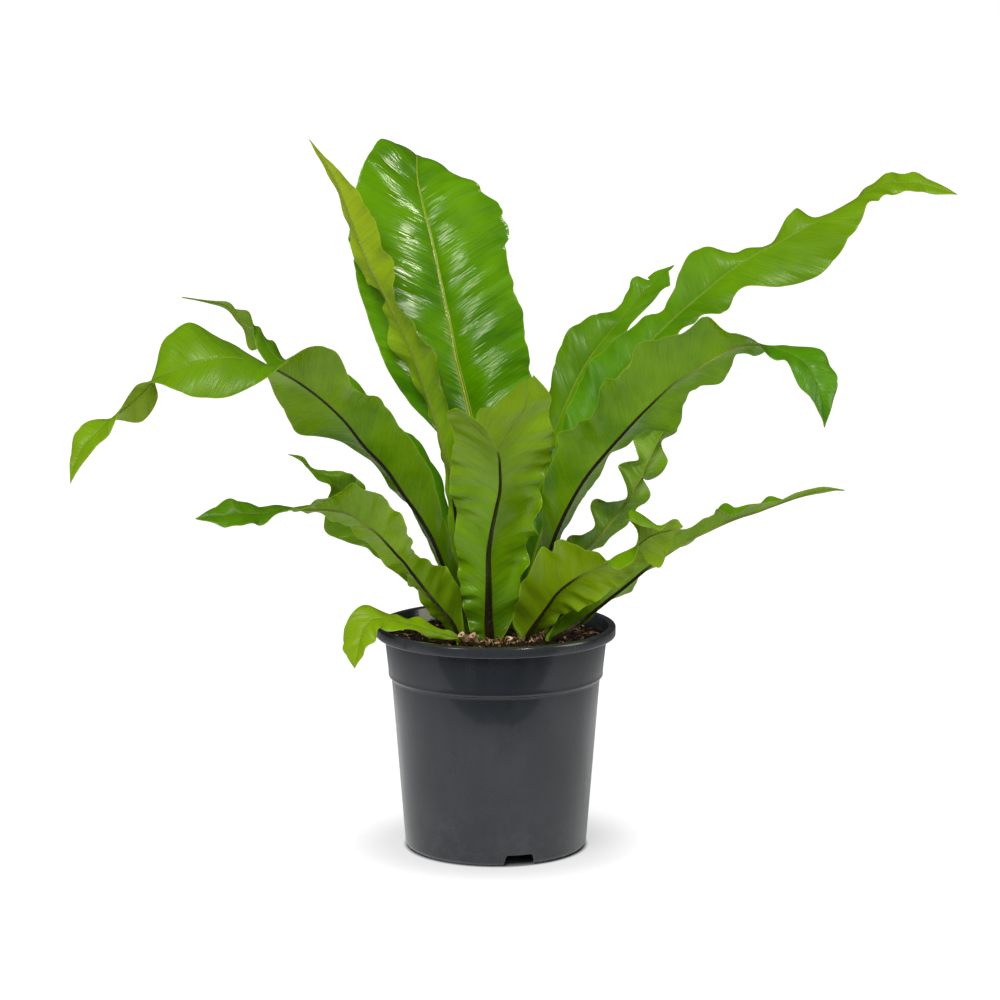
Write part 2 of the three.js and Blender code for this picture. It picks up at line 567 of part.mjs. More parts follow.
function bladeRows(rows) {
  const rib = rows.map((row) => new THREE.Vector3(row[0], row[1], row[2]));
  const edges = [3, 6].map((k) => rows.map((row) => new THREE.Vector3(row[k], row[k + 1], row[k + 2])));
  const last = rows.length - 1;
  edges.forEach((edge) => {
    if (edge[last].length() === 0) edge[last].copy(edge[last - 1]).setLength(TIP_HALF);
  });
  const stations = [0];
  for (let i = 0; i < last; i += 1) {
    const pieces = Math.ceil(rib[i].distanceTo(rib[i + 1]) / SECTION_STEP);
    for (let k = 1; k <= pieces; k += 1) stations.push((i + k / pieces) / last);
  }
  return stations.map((at) => (
    { at, rib: smooth(rib, at), left: smooth(edges[0], at), right: smooth(edges[1], at) }
  ));
}

// The middle surface: across each section the halves bulge a little towards the upper face
function middleSurface(sections) {
  return sections.map((section, i) => {
    const before = sections[Math.max(i - 1, 0)].rib;
    const after = sections[Math.min(i + 1, sections.length - 1)].rib;
    const along = after.clone().sub(before);
    const upper = along.cross(section.right.clone().sub(section.left)).normalize();
    return ACROSS.map((t) => {
      const half = t > 0 ? section.right : section.left;
      const share = Math.abs(t);
      const lift = BULGE * half.length() * 4 * share * (1 - share);
      return section.rib.clone().addScaledVector(half, share).addScaledVector(upper, lift);
    });
  });
}

function frondRings(rows) {
  const sections = bladeRows(rows);
  const middle = middleSurface(sections);
  const end = middle.length - 1;
  const side = ACROSS.length - 1;
  let run = 0;
  return middle.map((line, i) => {
    if (i > 0) run += line[2].distanceTo(middle[i - 1][2]);
    const stalk = Math.max(0, 1 - run / STALK_RUN);
    const ridge = THREE.MathUtils.lerp(RIDGE_BASE, 0, sections[i].at) + RIDGE_TIP;
    const upper = [];
    const under = [];
    line.forEach((point, j) => {
      const along = middle[Math.min(i + 1, end)][j].clone().sub(middle[Math.max(i - 1, 0)][j]);
      if (i === 0) along.set(0, 0, 1);
      const across = line[Math.min(j + 1, side)].clone().sub(line[Math.max(j - 1, 0)]);
      const normal = along.cross(across).normalize();
      upper.push(point.clone().addScaledVector(normal, BLADE_HALF + STALK_UPPER * stalk));
      const depth = BLADE_HALF + STALK_UNDER * stalk + ridge * RIDGE_SHARE[j];
      under.push(point.clone().addScaledVector(normal, -depth));
    });
    return [...upper, ...under.reverse()];
  });
}

// The plan outline of a stalk, from its first ring
const stalkOutline = (rings) => rings[0].map((point) => [point.x, point.y]);

function frondGeometry(rings) {
  const foot = rings[0].map((point) => new THREE.Vector3(point.x, point.y, STALK_FOOT));
  const all = [foot, ...rings];
  const size = foot.length;
  const half = size / 2;
  const index = [];
  // Both faces are split along the same diagonals, and the two ends are closed strip by strip
  for (let i = 0; i < all.length - 1; i += 1) {
    for (let j = 0; j < size; j += 1) {
      const k = (j + 1) % size;
      const [a, b, c, d] = [i * size + j, i * size + k, (i + 1) * size + k, (i + 1) * size + j];
      if (j < half) index.push(a, c, b, a, d, c);
      else index.push(a, d, b, b, d, c);
    }
  }
  const top = (all.length - 1) * size;
  for (let j = 0; j < half - 1; j += 1) {
    const [a, b, c, d] = [j, j + 1, size - 2 - j, size - 1 - j];
    index.push(a, b, c, a, c, d, top + a, top + c, top + b, top + a, top + d, top + c);
  }
  const geometry = new THREE.BufferGeometry();
  const flat = all.flat().flatMap((point) => [point.x, point.y, point.z]);
  geometry.setAttribute('position', new THREE.Float32BufferAttribute(flat, 3));
  geometry.setIndex(index);
  geometry.computeVertexNormals();
  return geometry;
}

// Assembly
const plant = new THREE.Group();

function put(name, geometry, material) {
  const mesh = new THREE.Mesh(geometry, material);
  mesh.name = name;
  plant.add(mesh);
}

const rings = Object.entries(FRONDS).map(([name, rows]) => [name, frondRings(rows)]);
put('pot', potGeometry(), plastic);
put('soil', soilGeometry(), earth);
put('crown', crownGeometry(rings.map(([, frond]) => stalkOutline(frond))), scale);
for (const [name, frond] of rings) {
  put(name, frondGeometry(frond), leaf);
}

export default plant;
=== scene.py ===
import math
import random

import bmesh
import bpy
import numpy as np
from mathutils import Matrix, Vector, noise


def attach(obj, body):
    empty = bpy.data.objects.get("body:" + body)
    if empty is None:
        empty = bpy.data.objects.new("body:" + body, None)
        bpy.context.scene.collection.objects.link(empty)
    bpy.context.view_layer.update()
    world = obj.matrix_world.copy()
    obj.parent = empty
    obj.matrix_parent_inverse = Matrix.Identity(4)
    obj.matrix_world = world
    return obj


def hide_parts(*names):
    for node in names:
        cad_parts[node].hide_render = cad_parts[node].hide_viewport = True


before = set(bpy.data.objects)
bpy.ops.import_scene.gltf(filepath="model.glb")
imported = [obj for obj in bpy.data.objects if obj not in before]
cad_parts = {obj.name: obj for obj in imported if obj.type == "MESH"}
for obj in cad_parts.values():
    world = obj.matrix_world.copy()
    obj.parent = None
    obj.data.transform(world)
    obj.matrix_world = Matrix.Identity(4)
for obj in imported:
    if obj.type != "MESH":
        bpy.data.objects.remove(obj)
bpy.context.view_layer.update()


# The pot is a round nursery pot of dark plastic, moulded in one piece. A collared rim tops a
# wider band, the wall tapers to a thin foot skirt with three notches, and the raised floor has
# drain holes round the disc that it stands on. Sizes here and below are in millimetres.
MM = 0.001
POT_HEIGHT = 160
RIM_RADIUS = 85
RIM_DEPTH = 7.5
RIM_WIDTH = 5.5
NECK_RADIUS = 78.8
BAND_RADIUS = 76
BAND_BOTTOM = 123
WALL_TOP_RADIUS = 73.9
FOOT_RADIUS = 64.3
WALL = 1.6
FLOOR_RAISE = 9
DISC_RADIUS = 29
POT_SIDES = 192
NOTCH_ANGLES = (-75, 45, 165)
NOTCH_OUTLINE = ((-11.5, -1), (11.5, -1), (10.6, 3), (9.6, 7.1), (8.7, 8), (-8.7, 8), (-9.6, 7.1), (-10.6, 3))
NOTCH_REACH = (FOOT_RADIUS - 8, FOOT_RADIUS + 6)
DRAIN_HOLES = 6
DRAIN_RING = 47
DRAIN_RADIUS = 4
DRAIN_SIDES = 32
DRAIN_DEPTH = (FLOOR_RAISE - 4, FLOOR_RAISE + 5)
DUST_TOP = 50
# Heights over which the rim turns a lighter grey: a painted sheen for the light the rim catches
PAINTED_RIM_SHEEN = (151.5, 153)


def arc(middle, radius, start, end, steps):
    """Points of a round corner in the pot's section, from one angle to another, in degrees."""
    turns = [math.radians(start + (end - start) * k / steps) for k in range(steps + 1)]
    return [(middle[0] + radius * math.cos(t), middle[1] + radius * math.sin(t)) for t in turns]


def sleeve(rings, sides, flip=False):
    """The walls and the two ends, as faces, of a body whose points are rings of so many sides. It is
    flipped where the rings run the other way round."""
    walls = []
    for i in range(rings - 1):
        for j in range(sides):
            a, b = i * sides + j, i * sides + (j + 1) % sides
            walls.append((a, a + sides, b + sides, b) if flip else (a, b, b + sides, a + sides))
    first, last = tuple(range(sides)), tuple(range((rings - 1) * sides, rings * sides))
    return walls, [first, last[::-1]] if flip else [first[::-1], last]


def ring_body(rings, sides):
    """Points and faces of a body lofted through rings (x, y, radius, height), closed at both ends."""
    turns = np.linspace(0, 2 * math.pi, sides, endpoint=False)
    points = [np.stack([x + radius * np.cos(turns), y + radius * np.sin(turns), np.full(sides, height)], 1)
              for x, y, radius, height in rings]
    walls, ends = sleeve(len(rings), sides)
    return np.concatenate(points), walls + ends


def shade(thing, crease):
    """Smooth shading, with the edges that bend more than the crease angle kept sharp."""
    shape = bmesh.new()
    shape.from_mesh(thing.data)
    for face in shape.faces:
        face.smooth = True
    for edge in shape.edges:
        edge.smooth = len(edge.link_faces) == 2 and edge.calc_face_angle(0) < math.radians(crease)
    shape.to_mesh(thing.data)
    shape.free()


def made(name, points, faces, materials=(), crease=40):
    """An object of the scene from points in millimetres."""
    mesh = bpy.data.meshes.new(name)
    mesh.from_pydata((np.asarray(points) * MM).tolist(), [], faces)
    for material in materials:
        mesh.materials.append(material)
    thing = bpy.data.objects.new(name, mesh)
    bpy.context.scene.collection.objects.link(thing)
    shade(thing, crease)
    return thing


def cut(thing, points, faces):
    """Cuts a closed form out of a piece."""
    tool = made("cutter", points, faces)
    change = thing.modifiers.new("cut", "BOOLEAN")
    change.object = tool
    change.solver = "EXACT"
    with bpy.context.temp_override(object=thing, active_object=thing, selected_objects=[thing]):
        bpy.ops.object.modifier_apply(modifier="cut")
    bpy.data.objects.remove(tool)


def pot_section():
    """The pot's section as (radius, height), from the middle of its underside, up and back inside."""
    disc, foot, wall = DISC_RADIUS, FOOT_RADIUS, WALL_TOP_RADIUS
    band, neck, rim = BAND_RADIUS, NECK_RADIUS, RIM_RADIUS
    step, top, under = BAND_BOTTOM, POT_HEIGHT, POT_HEIGHT - RIM_DEPTH
    # The disc, the raised floor and the foot skirt, from below
    line = [(disc - 1.2, 0), *arc((disc - 0.6, 1), 1, -80, -10, 3)]
    line += [(disc + 3, FLOOR_RAISE), (foot - 2, FLOOR_RAISE), (foot - 2.3, 5)]
    line += [(foot - 3.4, 1.1), *arc((foot - 2.9, 0.5), 0.5, 200, 270, 3)]
    line += arc((foot - 3.6, 4.4), 3.9, -62, -4, 6)
    # The outside: the wall, the step under the band, the neck and the rim
    line += [(wall - 0.1, step - 2.5), *arc((wall + 0.7, step - 1), 0.8, 180, 100, 3)]
    line += [*arc((band - 1.9, step + 1.9), 2, -70, 5, 7), (band + 0.15, step + 5)]
    line += [(neck - 0.1, under - 1), *arc((neck + 0.7, under - 0.8), 0.8, 180, 95, 3)]
    line += [(rim - 1.3, under), *arc((rim - 1.1, under + 1), 1, -85, 0, 4)]
    line += [(rim, top - 2.2), *arc((rim - 1.6, top - 1.6), 1.6, 8, 90, 6)]
    # The inside, down to the floor
    line += arc((rim - RIM_WIDTH + 1.2, top - 1.2), 1.2, 90, 172, 4)
    line += [(neck - WALL + 0.4, under - 1), (neck - WALL, under - 3)]
    line += [(band - WALL, step + 1.5), (wall - WALL, step - 1.5)]
    line += [(foot - WALL + 0.4, FLOOR_RAISE + WALL), (disc + 1.6, FLOOR_RAISE + WALL)]
    return [*line, (disc - WALL, WALL)]


def notch_form(degrees):
    """A drainage notch: a prism through the skirt, a little wider at the foot."""
    turn = math.radians(degrees)
    out = np.array([math.cos(turn), math.sin(turn)])
    side = np.array([-math.sin(turn), math.cos(turn)])
    points = [[*(out * reach + side * across), height]
              for reach in NOTCH_REACH for across, height in NOTCH_OUTLINE]
    walls, ends = sleeve(len(NOTCH_REACH), len(NOTCH_OUTLINE))
    return points, ends + walls


def tone(*levels):
    """A colour's red, green and blue as a screen shows them, 0 to 255, as the shader's linear numbers."""
    linear = []
    for level in levels:
        share = level / 255
        linear.append(share / 12.92 if share < 0.04045 else ((share + 0.055) / 1.055) ** 2.4)
    return (*linear, 1)


def node(tree, kind, inputs=None, **settings):
    """A shader node with its settings, and its inputs linked or set by name or number."""
    new = tree.nodes.new(kind)
    for key, value in settings.items():
        setattr(new, key, value)
    for key, value in (inputs or {}).items():
        if isinstance(value, bpy.types.NodeSocket):
            tree.links.new(value, new.inputs[key])
        else:
            new.inputs[key].default_value = value
    return new


def sums(tree, operation, *values):
    """The result of a math node."""
    return node(tree, "ShaderNodeMath", dict(enumerate(values)), operation=operation).outputs[0]


def blend(tree, share, first, second):
    """Two colours mixed by a share."""
    return node(tree, "ShaderNodeMix", {0: share, 6: first, 7: second}, data_type="RGBA").outputs[2]


def rise(tree, value, low, high, start=0.0, end=1.0):
    """A smooth step of a value from low to high."""
    inputs = {"Value": value, "From Min": low, "From Max": high, "To Min": start, "To Max": end}
    return node(tree, "ShaderNodeMapRange", inputs, interpolation_type="SMOOTHSTEP").outputs[0]


def speckle(tree, place, scale, detail=4.0, roughness=0.5):
    """Noise of a given scale over the surface."""
    inputs = {"Vector": place, "Scale": scale, "Detail": detail, "Roughness": roughness}
    return node(tree, "ShaderNodeTexNoise", inputs).outputs[0]


def stretched(tree, place, scale):
    """The surface's coordinates with each axis scaled, which draws out the marks on it."""
    return node(tree, "ShaderNodeMapping", {"Vector": place, "Scale": scale}).outputs[0]


def finish(name, **sockets):
    """A new material and its shader, with plain values on the shader's own sockets."""
    material = bpy.data.materials.new(name)
    material.use_nodes = True
    shader = material.node_tree.nodes["Principled BSDF"]
    for key, value in sockets.items():
        shader.inputs[key.replace("_", " ")].default_value = value
    return material, material.node_tree, shader


def dress(tree, shader, base, rough, relief, strength, depth):
    """Gives a shader its colour, its roughness and a relief of so many metres."""
    tree.links.new(base, shader.inputs["Base Color"])
    tree.links.new(rough, shader.inputs["Roughness"])
    bump = node(tree, "ShaderNodeBump", {"Height": relief, "Strength": strength, "Distance": depth})
    tree.links.new(bump.outputs[0], shader.inputs["Normal"])


def pot_plastic():
    """Charcoal plastic, satin from the mould, with faint upright flow marks, dust near the foot and a painted
    sheen that makes the rim a lighter grey.
    """
    material, tree, shader = finish("pot_plastic", Specular_IOR_Level=0.42,
                                    Coat_Weight=0.42, Coat_Roughness=0.06)
    place = node(tree, "ShaderNodeTexCoord").outputs["Object"]
    height = node(tree, "ShaderNodeSeparateXYZ", {0: place}).outputs["Z"]
    flow = speckle(tree, stretched(tree, place, (1, 1, 0.06)), 130, 5, 0.6)
    cloud = speckle(tree, place, 22, 4, 0.6)
    grain = speckle(tree, place, 2600, 2)
    base = blend(tree, rise(tree, cloud, 0.35, 0.7), tone(27, 31, 36), tone(36, 40, 45))
    low = rise(tree, height, 0.0, DUST_TOP * MM, 1.0, 0.0)
    dust = sums(tree, "MULTIPLY", low, rise(tree, speckle(tree, place, 90, 6, 0.7), 0.45, 0.75, 0.0, 0.35))
    base = blend(tree, dust, base, tone(70, 70, 67))
    # Painted sheen: above these heights the rim and its lip are painted a lighter grey for the light they
    # catch
    painted_rim_sheen = rise(tree, height, PAINTED_RIM_SHEEN[0] * MM, PAINTED_RIM_SHEEN[1] * MM, 0.0, 0.35)
    base = blend(tree, painted_rim_sheen, base, tone(56, 58, 60))
    rough = sums(tree, "ADD", rise(tree, flow, 0.3, 0.7, 0.16, 0.28), sums(tree, "MULTIPLY", dust, 0.3))
    dress(tree, shader, base, rough, grain, 0.1, 0.0002)
    return material


points, faces = ring_body([(0, 0, radius, height) for radius, height in pot_section()], POT_SIDES)
pot = made("nursery_pot", points, faces, [pot_plastic()])
for degrees in NOTCH_ANGLES:
    cut(pot, *notch_form(degrees))
for k in range(DRAIN_HOLES):
    turn = math.radians(360 / DRAIN_HOLES * (k + 0.5))
    x, y = DRAIN_RING * math.cos(turn), DRAIN_RING * math.sin(turn)
    cut(pot, *ring_body([(x, y, DRAIN_RADIUS, height) for height in DRAIN_DEPTH], DRAIN_SIDES))
shade(pot, 40)
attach(pot, "root")
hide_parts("pot")


# The soil is dark potting mix, poured in loose to about ten millimetres below the rim. It fills
# the pot and lies round the crown, and its top is lumpy with crumbs of peat.
SOIL_TOP = 149.5
SOIL_EDGE = 76.1
SOIL_FLOOR = FLOOR_RAISE + 2.2
SOIL_AT_STEP = ((70.8, 120), (71, 124), (73.4, 127))
SOIL_SIDES = 360
SOIL_RINGS = 30
CROWN_X = 4
CROWN_Y = 3
CROWN_RADIUS = 48
CROWN_TOP = 152
SOCKET_RADIUS = CROWN_RADIUS + 0.4
SOCKET_SHOULDER = 136
SOCKET_FLOOR = 117.4
LUMP_SCALE = 0.09
LUMP_HEIGHT = 0.7
CRUMB_SCALE = 0.42
CRUMB_HEIGHT = 0.9


def ground(x, y):
    """Height of the lumpy ground above its level, at a place in the pot."""
    lumps = noise.fractal(Vector((x * LUMP_SCALE, y * LUMP_SCALE, 3.1)), 1.0, 2.0, 2)
    crumbs = noise.fractal(Vector((x * CRUMB_SCALE, y * CRUMB_SCALE, 7.7)), 0.7, 2.1, 4)
    return LUMP_HEIGHT * lumps + CRUMB_HEIGHT * crumbs


def roughen(points):
    """Raises points of the ground's level by its lumps and crumbs."""
    for point in points:
        point[2] += ground(point[0], point[1])


def peat(name, dark, light):
    """Damp peat: dark, with lighter crumbs in places."""
    material, tree, shader = finish(name, Specular_IOR_Level=0.3)
    place = node(tree, "ShaderNodeTexCoord").outputs["Object"]
    crumbs = speckle(tree, place, 900, 6, 0.7)
    patches = speckle(tree, place, 260, 4, 0.6)
    base = blend(tree, rise(tree, crumbs, 0.42, 0.68), dark, light)
    base = blend(tree, rise(tree, patches, 0.35, 0.6), base, dark)
    dress(tree, shader, base, rise(tree, crumbs, 0.3, 0.7, 0.98, 0.7), crumbs, 0.8, 0.0012)
    return material


# From the middle of the pot's floor, up its wall, in over the top and down into the crown's socket
rings = [(0, 0, DISC_RADIUS - 3, WALL + 0.4), (0, 0, DISC_RADIUS + 0.6, SOIL_FLOOR)]
rings += [(0, 0, FOOT_RADIUS - WALL - 0.6, SOIL_FLOOR)]
rings += [(0, 0, radius, height) for radius, height in SOIL_AT_STEP]
rings += [(0, 0, SOIL_EDGE - 0.4, SOIL_TOP - 3)]
ground_from = len(rings) * SOIL_SIDES
for k in range(SOIL_RINGS + 1):
    share = k / SOIL_RINGS
    radius = SOIL_EDGE + (SOCKET_RADIUS - SOIL_EDGE) * share
    rings.append((CROWN_X * share, CROWN_Y * share, radius, SOIL_TOP))
rings += [(CROWN_X, CROWN_Y, SOCKET_RADIUS, SOCKET_SHOULDER)]
rings += [(CROWN_X, CROWN_Y, CROWN_RADIUS * 0.6, SOCKET_FLOOR)]
points, faces = ring_body(rings, SOIL_SIDES)
roughen(points[ground_from:ground_from + (SOIL_RINGS + 1) * SOIL_SIDES])
dark_peat = peat("dark_peat", tone(22, 15, 11), tone(66, 44, 30))
soil = made("potting_soil", points, faces, [dark_peat], crease=80)
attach(soil, "root")
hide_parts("soil")


# Loose bits lie on the soil: crumbs of peat, chips of bark and pale root fibres. They belong to
# the potting mix, worked up by watering, and lie thickest on the crown in front of the stalks.
BITS_SEED = 17
CRUMBS = 1400
DARK_CHIPS = 420
TAN_CHIPS = 200
FRONT_CHIPS = 90
FIBRES = 130
FRONT_FIBRES = 44
FRONT_SPREAD = 0.75
FIBRE_STEPS = 7
THREAD_END = 0.45
NOT_ALONG = (0.31, 0.17, 0.94)
CLEAR_OF_WALL = 2.5
TURN_BACK = 1.5
CROWN_SHOULDER = 0.25


def from_crown(reach, turn):
    """A place at a distance and a direction from the crown's middle."""
    return CROWN_X + reach * math.cos(turn), CROWN_Y + reach * math.sin(turn)


def strewn(draw, near, far, spread=None):
    """A random place on the ground, between two distances from the crown's middle, and round the
    front of the pot where a spread is given."""
    while True:
        reach = near + (far - near) * math.sqrt(draw.random())
        turn = draw.gauss(-math.pi / 2, spread) if spread else draw.uniform(0, 2 * math.pi)
        x, y = from_crown(reach, turn)
        if math.hypot(x, y) < SOIL_EDGE - CLEAR_OF_WALL:
            climb = min(1, max(0, (1 - reach / CROWN_RADIUS) / CROWN_SHOULDER))
            return x, y, SOIL_TOP + (CROWN_TOP - SOIL_TOP) * climb + ground(x, y)


def spun(angle):
    """A turn about the upright axis."""
    c, s = math.cos(angle), math.sin(angle)
    return np.array([[c, -s, 0], [s, c, 0], [0, 0, 1]])


def leaned(angle):
    """A turn about the y axis, which tips the upright towards x."""
    c, s = math.cos(angle), math.sin(angle)
    return np.array([[c, 0, s], [0, 1, 0], [-s, 0, c]])


def turned(draw, tilt):
    """A random turn about the upright, with a tilt of up to so many degrees."""
    heading = draw.uniform(0, 2 * math.pi)
    nod = math.radians(draw.uniform(-tilt, tilt))
    roll = math.radians(draw.uniform(-tilt, tilt))
    c, s = math.cos(nod), math.sin(nod)
    return spun(heading) @ np.array([[1, 0, 0], [0, c, -s], [0, s, c]]) @ leaned(roll)


def flake(draw, length, width, depth):
    """An irregular chip: six-sided, thin, with uneven corners."""
    turns = [math.radians(60 * k + draw.uniform(-18, 18)) for k in range(6)]
    rim = []
    for turn in turns:
        x = length / 2 * math.cos(turn) * draw.uniform(0.75, 1.1)
        y = width / 2 * math.sin(turn) * draw.uniform(0.7, 1.15)
        rim.append((x, y))
    points = [(x * size, y * size, z + draw.uniform(-0.12, 0.12) * depth)
              for size, z in ((1, -depth / 2), (0.86, depth / 2)) for x, y in rim]
    walls, ends = sleeve(2, 6)
    return np.array(points), ends + walls


def unit(vectors):
    """The vectors with their length made 1."""
    return vectors / np.maximum(np.linalg.norm(vectors, axis=-1, keepdims=True), 1e-9)


def thread(path, thickness, sides=5):
    """A thin round fibre along a path, closed at both ends and a little thinner there."""
    path = np.asarray(path, float)
    along = unit(np.gradient(path, axis=0))
    side = unit(np.cross(along, NOT_ALONG))
    over = np.cross(along, side)
    points = []
    for i in range(len(path)):
        size = thickness * (THREAD_END if i in (0, len(path) - 1) else 1)
        for k in range(sides):
            turn = 2 * math.pi * k / sides
            points.append(path[i] + size * (math.cos(turn) * side[i] + math.sin(turn) * over[i]))
    walls, ends = sleeve(len(path), sides, flip=True)
    return np.array(points), ends + walls


def heaped(parts):
    """Many small bodies as one list of points and faces."""
    points, faces, at = [], [], 0
    for part_points, part_faces in parts:
        points.append(part_points)
        faces += [tuple(at + i for i in face) for face in part_faces]
        at += len(part_points)
    return np.concatenate(points), faces


def chips(draw, count, near, far, lengths, tilt, spread=None):
    """Many chips of random lengths, strewn over the ground and tilted."""
    parts = []
    for _ in range(count):
        x, y, z = strewn(draw, near, far, spread)
        length = draw.uniform(*lengths)
        points, faces = flake(draw, length, length * draw.uniform(0.35, 0.75), draw.uniform(0.5, 1.1))
        parts.append((points @ turned(draw, tilt).T + (x, y, z + 0.35), faces))
    return heaped(parts)


def fibres(draw, count, near, far, lengths, hop=0.7, spread=None):
    """Many curved fibres of random lengths, which hop over the crumbs and stay off the pot's wall."""
    parts = []
    for _ in range(count):
        x, y, z = strewn(draw, near, far, spread)
        heading = draw.uniform(0, 2 * math.pi)
        bend = draw.uniform(-0.5, 0.5)
        step = draw.uniform(*lengths) / FIBRE_STEPS
        path = []
        for k in range(FIBRE_STEPS + 1):
            path.append((x, y, z + 0.5 + hop * (1 + math.sin(0.9 * k + bend * 9)) / 1.4))
            if math.hypot(x + step * math.cos(heading), y + step * math.sin(heading)) > SOIL_EDGE - TURN_BACK:
                heading += math.pi / 2
            x += step * math.cos(heading)
            y += step * math.sin(heading)
            heading += bend
        parts.append(thread(path, draw.uniform(0.16, 0.3) * (1 + hop / 4)))
    return heaped(parts)


def bark(name, first, second, third):
    """Bark in browns that change from chip to chip, with a fibrous grain."""
    material, tree, shader = finish(name, Specular_IOR_Level=0.3)
    place = node(tree, "ShaderNodeTexCoord").outputs["Object"]
    pick = speckle(tree, place, 210, 1)
    grain = speckle(tree, stretched(tree, place, (1, 0.2, 1)), 2200, 3)
    base = blend(tree, rise(tree, pick, 0.42, 0.5), first, second)
    base = blend(tree, rise(tree, pick, 0.55, 0.62), base, third)
    base = blend(tree, rise(tree, grain, 0.4, 0.75, 0.0, 0.6), base, tone(38, 26, 18))
    dress(tree, shader, base, rise(tree, grain, 0.3, 0.7, 0.7, 0.92), grain, 0.5, 0.0004)
    return material


draw = random.Random(BITS_SEED)
dark_bark = bark("dark_bark", tone(32, 22, 17), tone(50, 35, 25), tone(72, 50, 35))
tan_bark = bark("tan_bark", tone(112, 80, 52), tone(156, 118, 80), tone(190, 152, 112))
pale_root = bark("pale_root", tone(98, 73, 48), tone(136, 104, 72), tone(188, 158, 120))
heap = chips(draw, CRUMBS, near=30, far=82, lengths=(1.0, 2.6), tilt=60)
crumbs = made("peat_crumbs", *heap, [dark_peat], crease=30)
heap = chips(draw, DARK_CHIPS, near=34, far=82, lengths=(2.0, 6.0), tilt=35)
dark_bits = made("bark_chips_dark", *heap, [dark_bark], crease=30)
heap = heaped([chips(draw, TAN_CHIPS, near=30, far=80, lengths=(1.0, 2.9), tilt=40),
               chips(draw, FRONT_CHIPS, near=18, far=36, lengths=(1.3, 3.8), tilt=75, spread=FRONT_SPREAD)])
tan_bits = made("bark_chips_tan", *heap, [tan_bark], crease=30)
heap = heaped([fibres(draw, FIBRES, near=28, far=78, lengths=(5, 16)),
               fibres(draw, FRONT_FIBRES, near=18, far=34, lengths=(5, 10), hop=2.2, spread=FRONT_SPREAD)])
fibre_bits = made("root_fibres", *heap, [pale_root])
for piece in (crumbs, dark_bits, tan_bits, fibre_bits):
    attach(piece, "root")


# The crown is the short rootstock, set into the soil. It is covered with brown scales and peat,
# and a few old leaf bases stand on it, cut off short, each with a dark hollow in its pale cut.
MOUND_SIDE = ((0.55, 118), (0.9, 126), (1, 136), (1, SOIL_TOP - 2))
MOUND_RINGS = 32
MOUND_SIDES = 240
STUBS = ((-20.8, -21.5, 42, 7.5), (-13.6, -24.6, 40, 7.5), (9, -27, 24, 4), (-15, 20, 10, 6),
         (28, 28, 22, 6), (-2, -4, 5, 5))
STUB_SIDES = 18
STUB_RINGS = ((2.3, 0, -3), (2.3, 0.5, 0), (2.6, 1, -0.6), (2.5, 1, 0), (2.0, 1, 0.1), (0.9, 1, -0.4),
              (0.4, 1, -0.9))
SCALES = 150
SCALES_FROM = 20
SCALES_SPREAD = 24
SCALE_LENGTHS = (3.5, 7)
SCALE_WIDTHS = (0.8, 1.6)
SCALE_LEANS = (15, 75)
SCALE_SECTIONS = ((0, 1), (0.35, 0.95), (0.7, 0.6), (1, 0.08))
SCALE_CORNERS = ((-1, 0), (0, 0.25), (1, 0), (0, -0.12))


def stub(x, y, lean, height):
    """A leaf base cut off short, leaning outwards, with a dished cut. Each of its rings has a radius,
    a share of the height and what is added to that."""
    rings = [(0, 0, radius, height * share + more) for radius, share, more in STUB_RINGS]
    points, faces = ring_body(rings, STUB_SIDES)
    for point in points:
        swell = 1 + 0.1 * math.sin(3 * math.atan2(point[1], point[0]) + x)
        point[:2] *= swell
    heading = math.atan2(y - CROWN_Y, x - CROWN_X)
    return points @ (spun(heading) @ leaned(math.radians(lean))).T + (x, y, CROWN_TOP), faces


def scales(draw, count):
    """Narrow brown scales that stand among the stalks and lean outwards."""
    parts = []
    for _ in range(count):
        reach = SCALES_FROM + SCALES_SPREAD * math.sqrt(draw.random())
        turn = draw.uniform(0, 2 * math.pi)
        x, y = from_crown(reach, turn)
        length = draw.uniform(*SCALE_LENGTHS)
        width = draw.uniform(*SCALE_WIDTHS)
        lean = math.radians(draw.uniform(*SCALE_LEANS))
        out = np.array([math.cos(turn) * math.sin(lean), math.sin(turn) * math.sin(lean), math.cos(lean)])
        side = np.array([-math.sin(turn), math.cos(turn), 0])
        up = np.cross(out, side)
        points = []
        for share, size in SCALE_SECTIONS:
            middle = np.array([x, y, CROWN_TOP - 1.2]) + out * length * share - up * 1.1 * share * share
            for across, over in SCALE_CORNERS:
                points.append(middle + side * across * width * size / 2 + up * over * size)
        walls, ends = sleeve(len(SCALE_SECTIONS), len(SCALE_CORNERS), flip=True)
        parts.append((np.array(points), ends + walls))
    return heaped(parts)


rings = [(CROWN_X, CROWN_Y, CROWN_RADIUS * share, height) for share, height in MOUND_SIDE]
mound_from = len(rings) * MOUND_SIDES
for k in range(MOUND_RINGS):
    share = k / MOUND_RINGS
    height = SOIL_TOP + (CROWN_TOP - SOIL_TOP) * min(1, share / CROWN_SHOULDER)
    rings.append((CROWN_X, CROWN_Y, CROWN_RADIUS * (1 - share), height))
points, faces = ring_body(rings, MOUND_SIDES)
roughen(points[mound_from:])
crown_peat = peat("crown_peat", tone(28, 19, 13), tone(84, 58, 38))
crown = made("crown_mound", points, faces, [crown_peat], crease=80)
pale_stub = bark("pale_stub", tone(146, 110, 76), tone(190, 154, 114), tone(222, 194, 156))
cut_stubs = made("cut_leaf_bases", *heaped([stub(*row) for row in STUBS]), [pale_stub, dark_bark])
# Of each stub's faces the last ones are its innermost ring, its foot and the bottom of its hollow
faces_each = len(cut_stubs.data.polygons) // len(STUBS)
foot_face = faces_each - 2
for face in cut_stubs.data.polygons:
    own = face.index % faces_each
    face.material_index = int(own >= foot_face - STUB_SIDES and own != foot_face)
crown_scales = made("crown_scales", *scales(draw, SCALES), [dark_bark])
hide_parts("crown")
for piece in (crown, cut_stubs, crown_scales):
    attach(piece, "root")


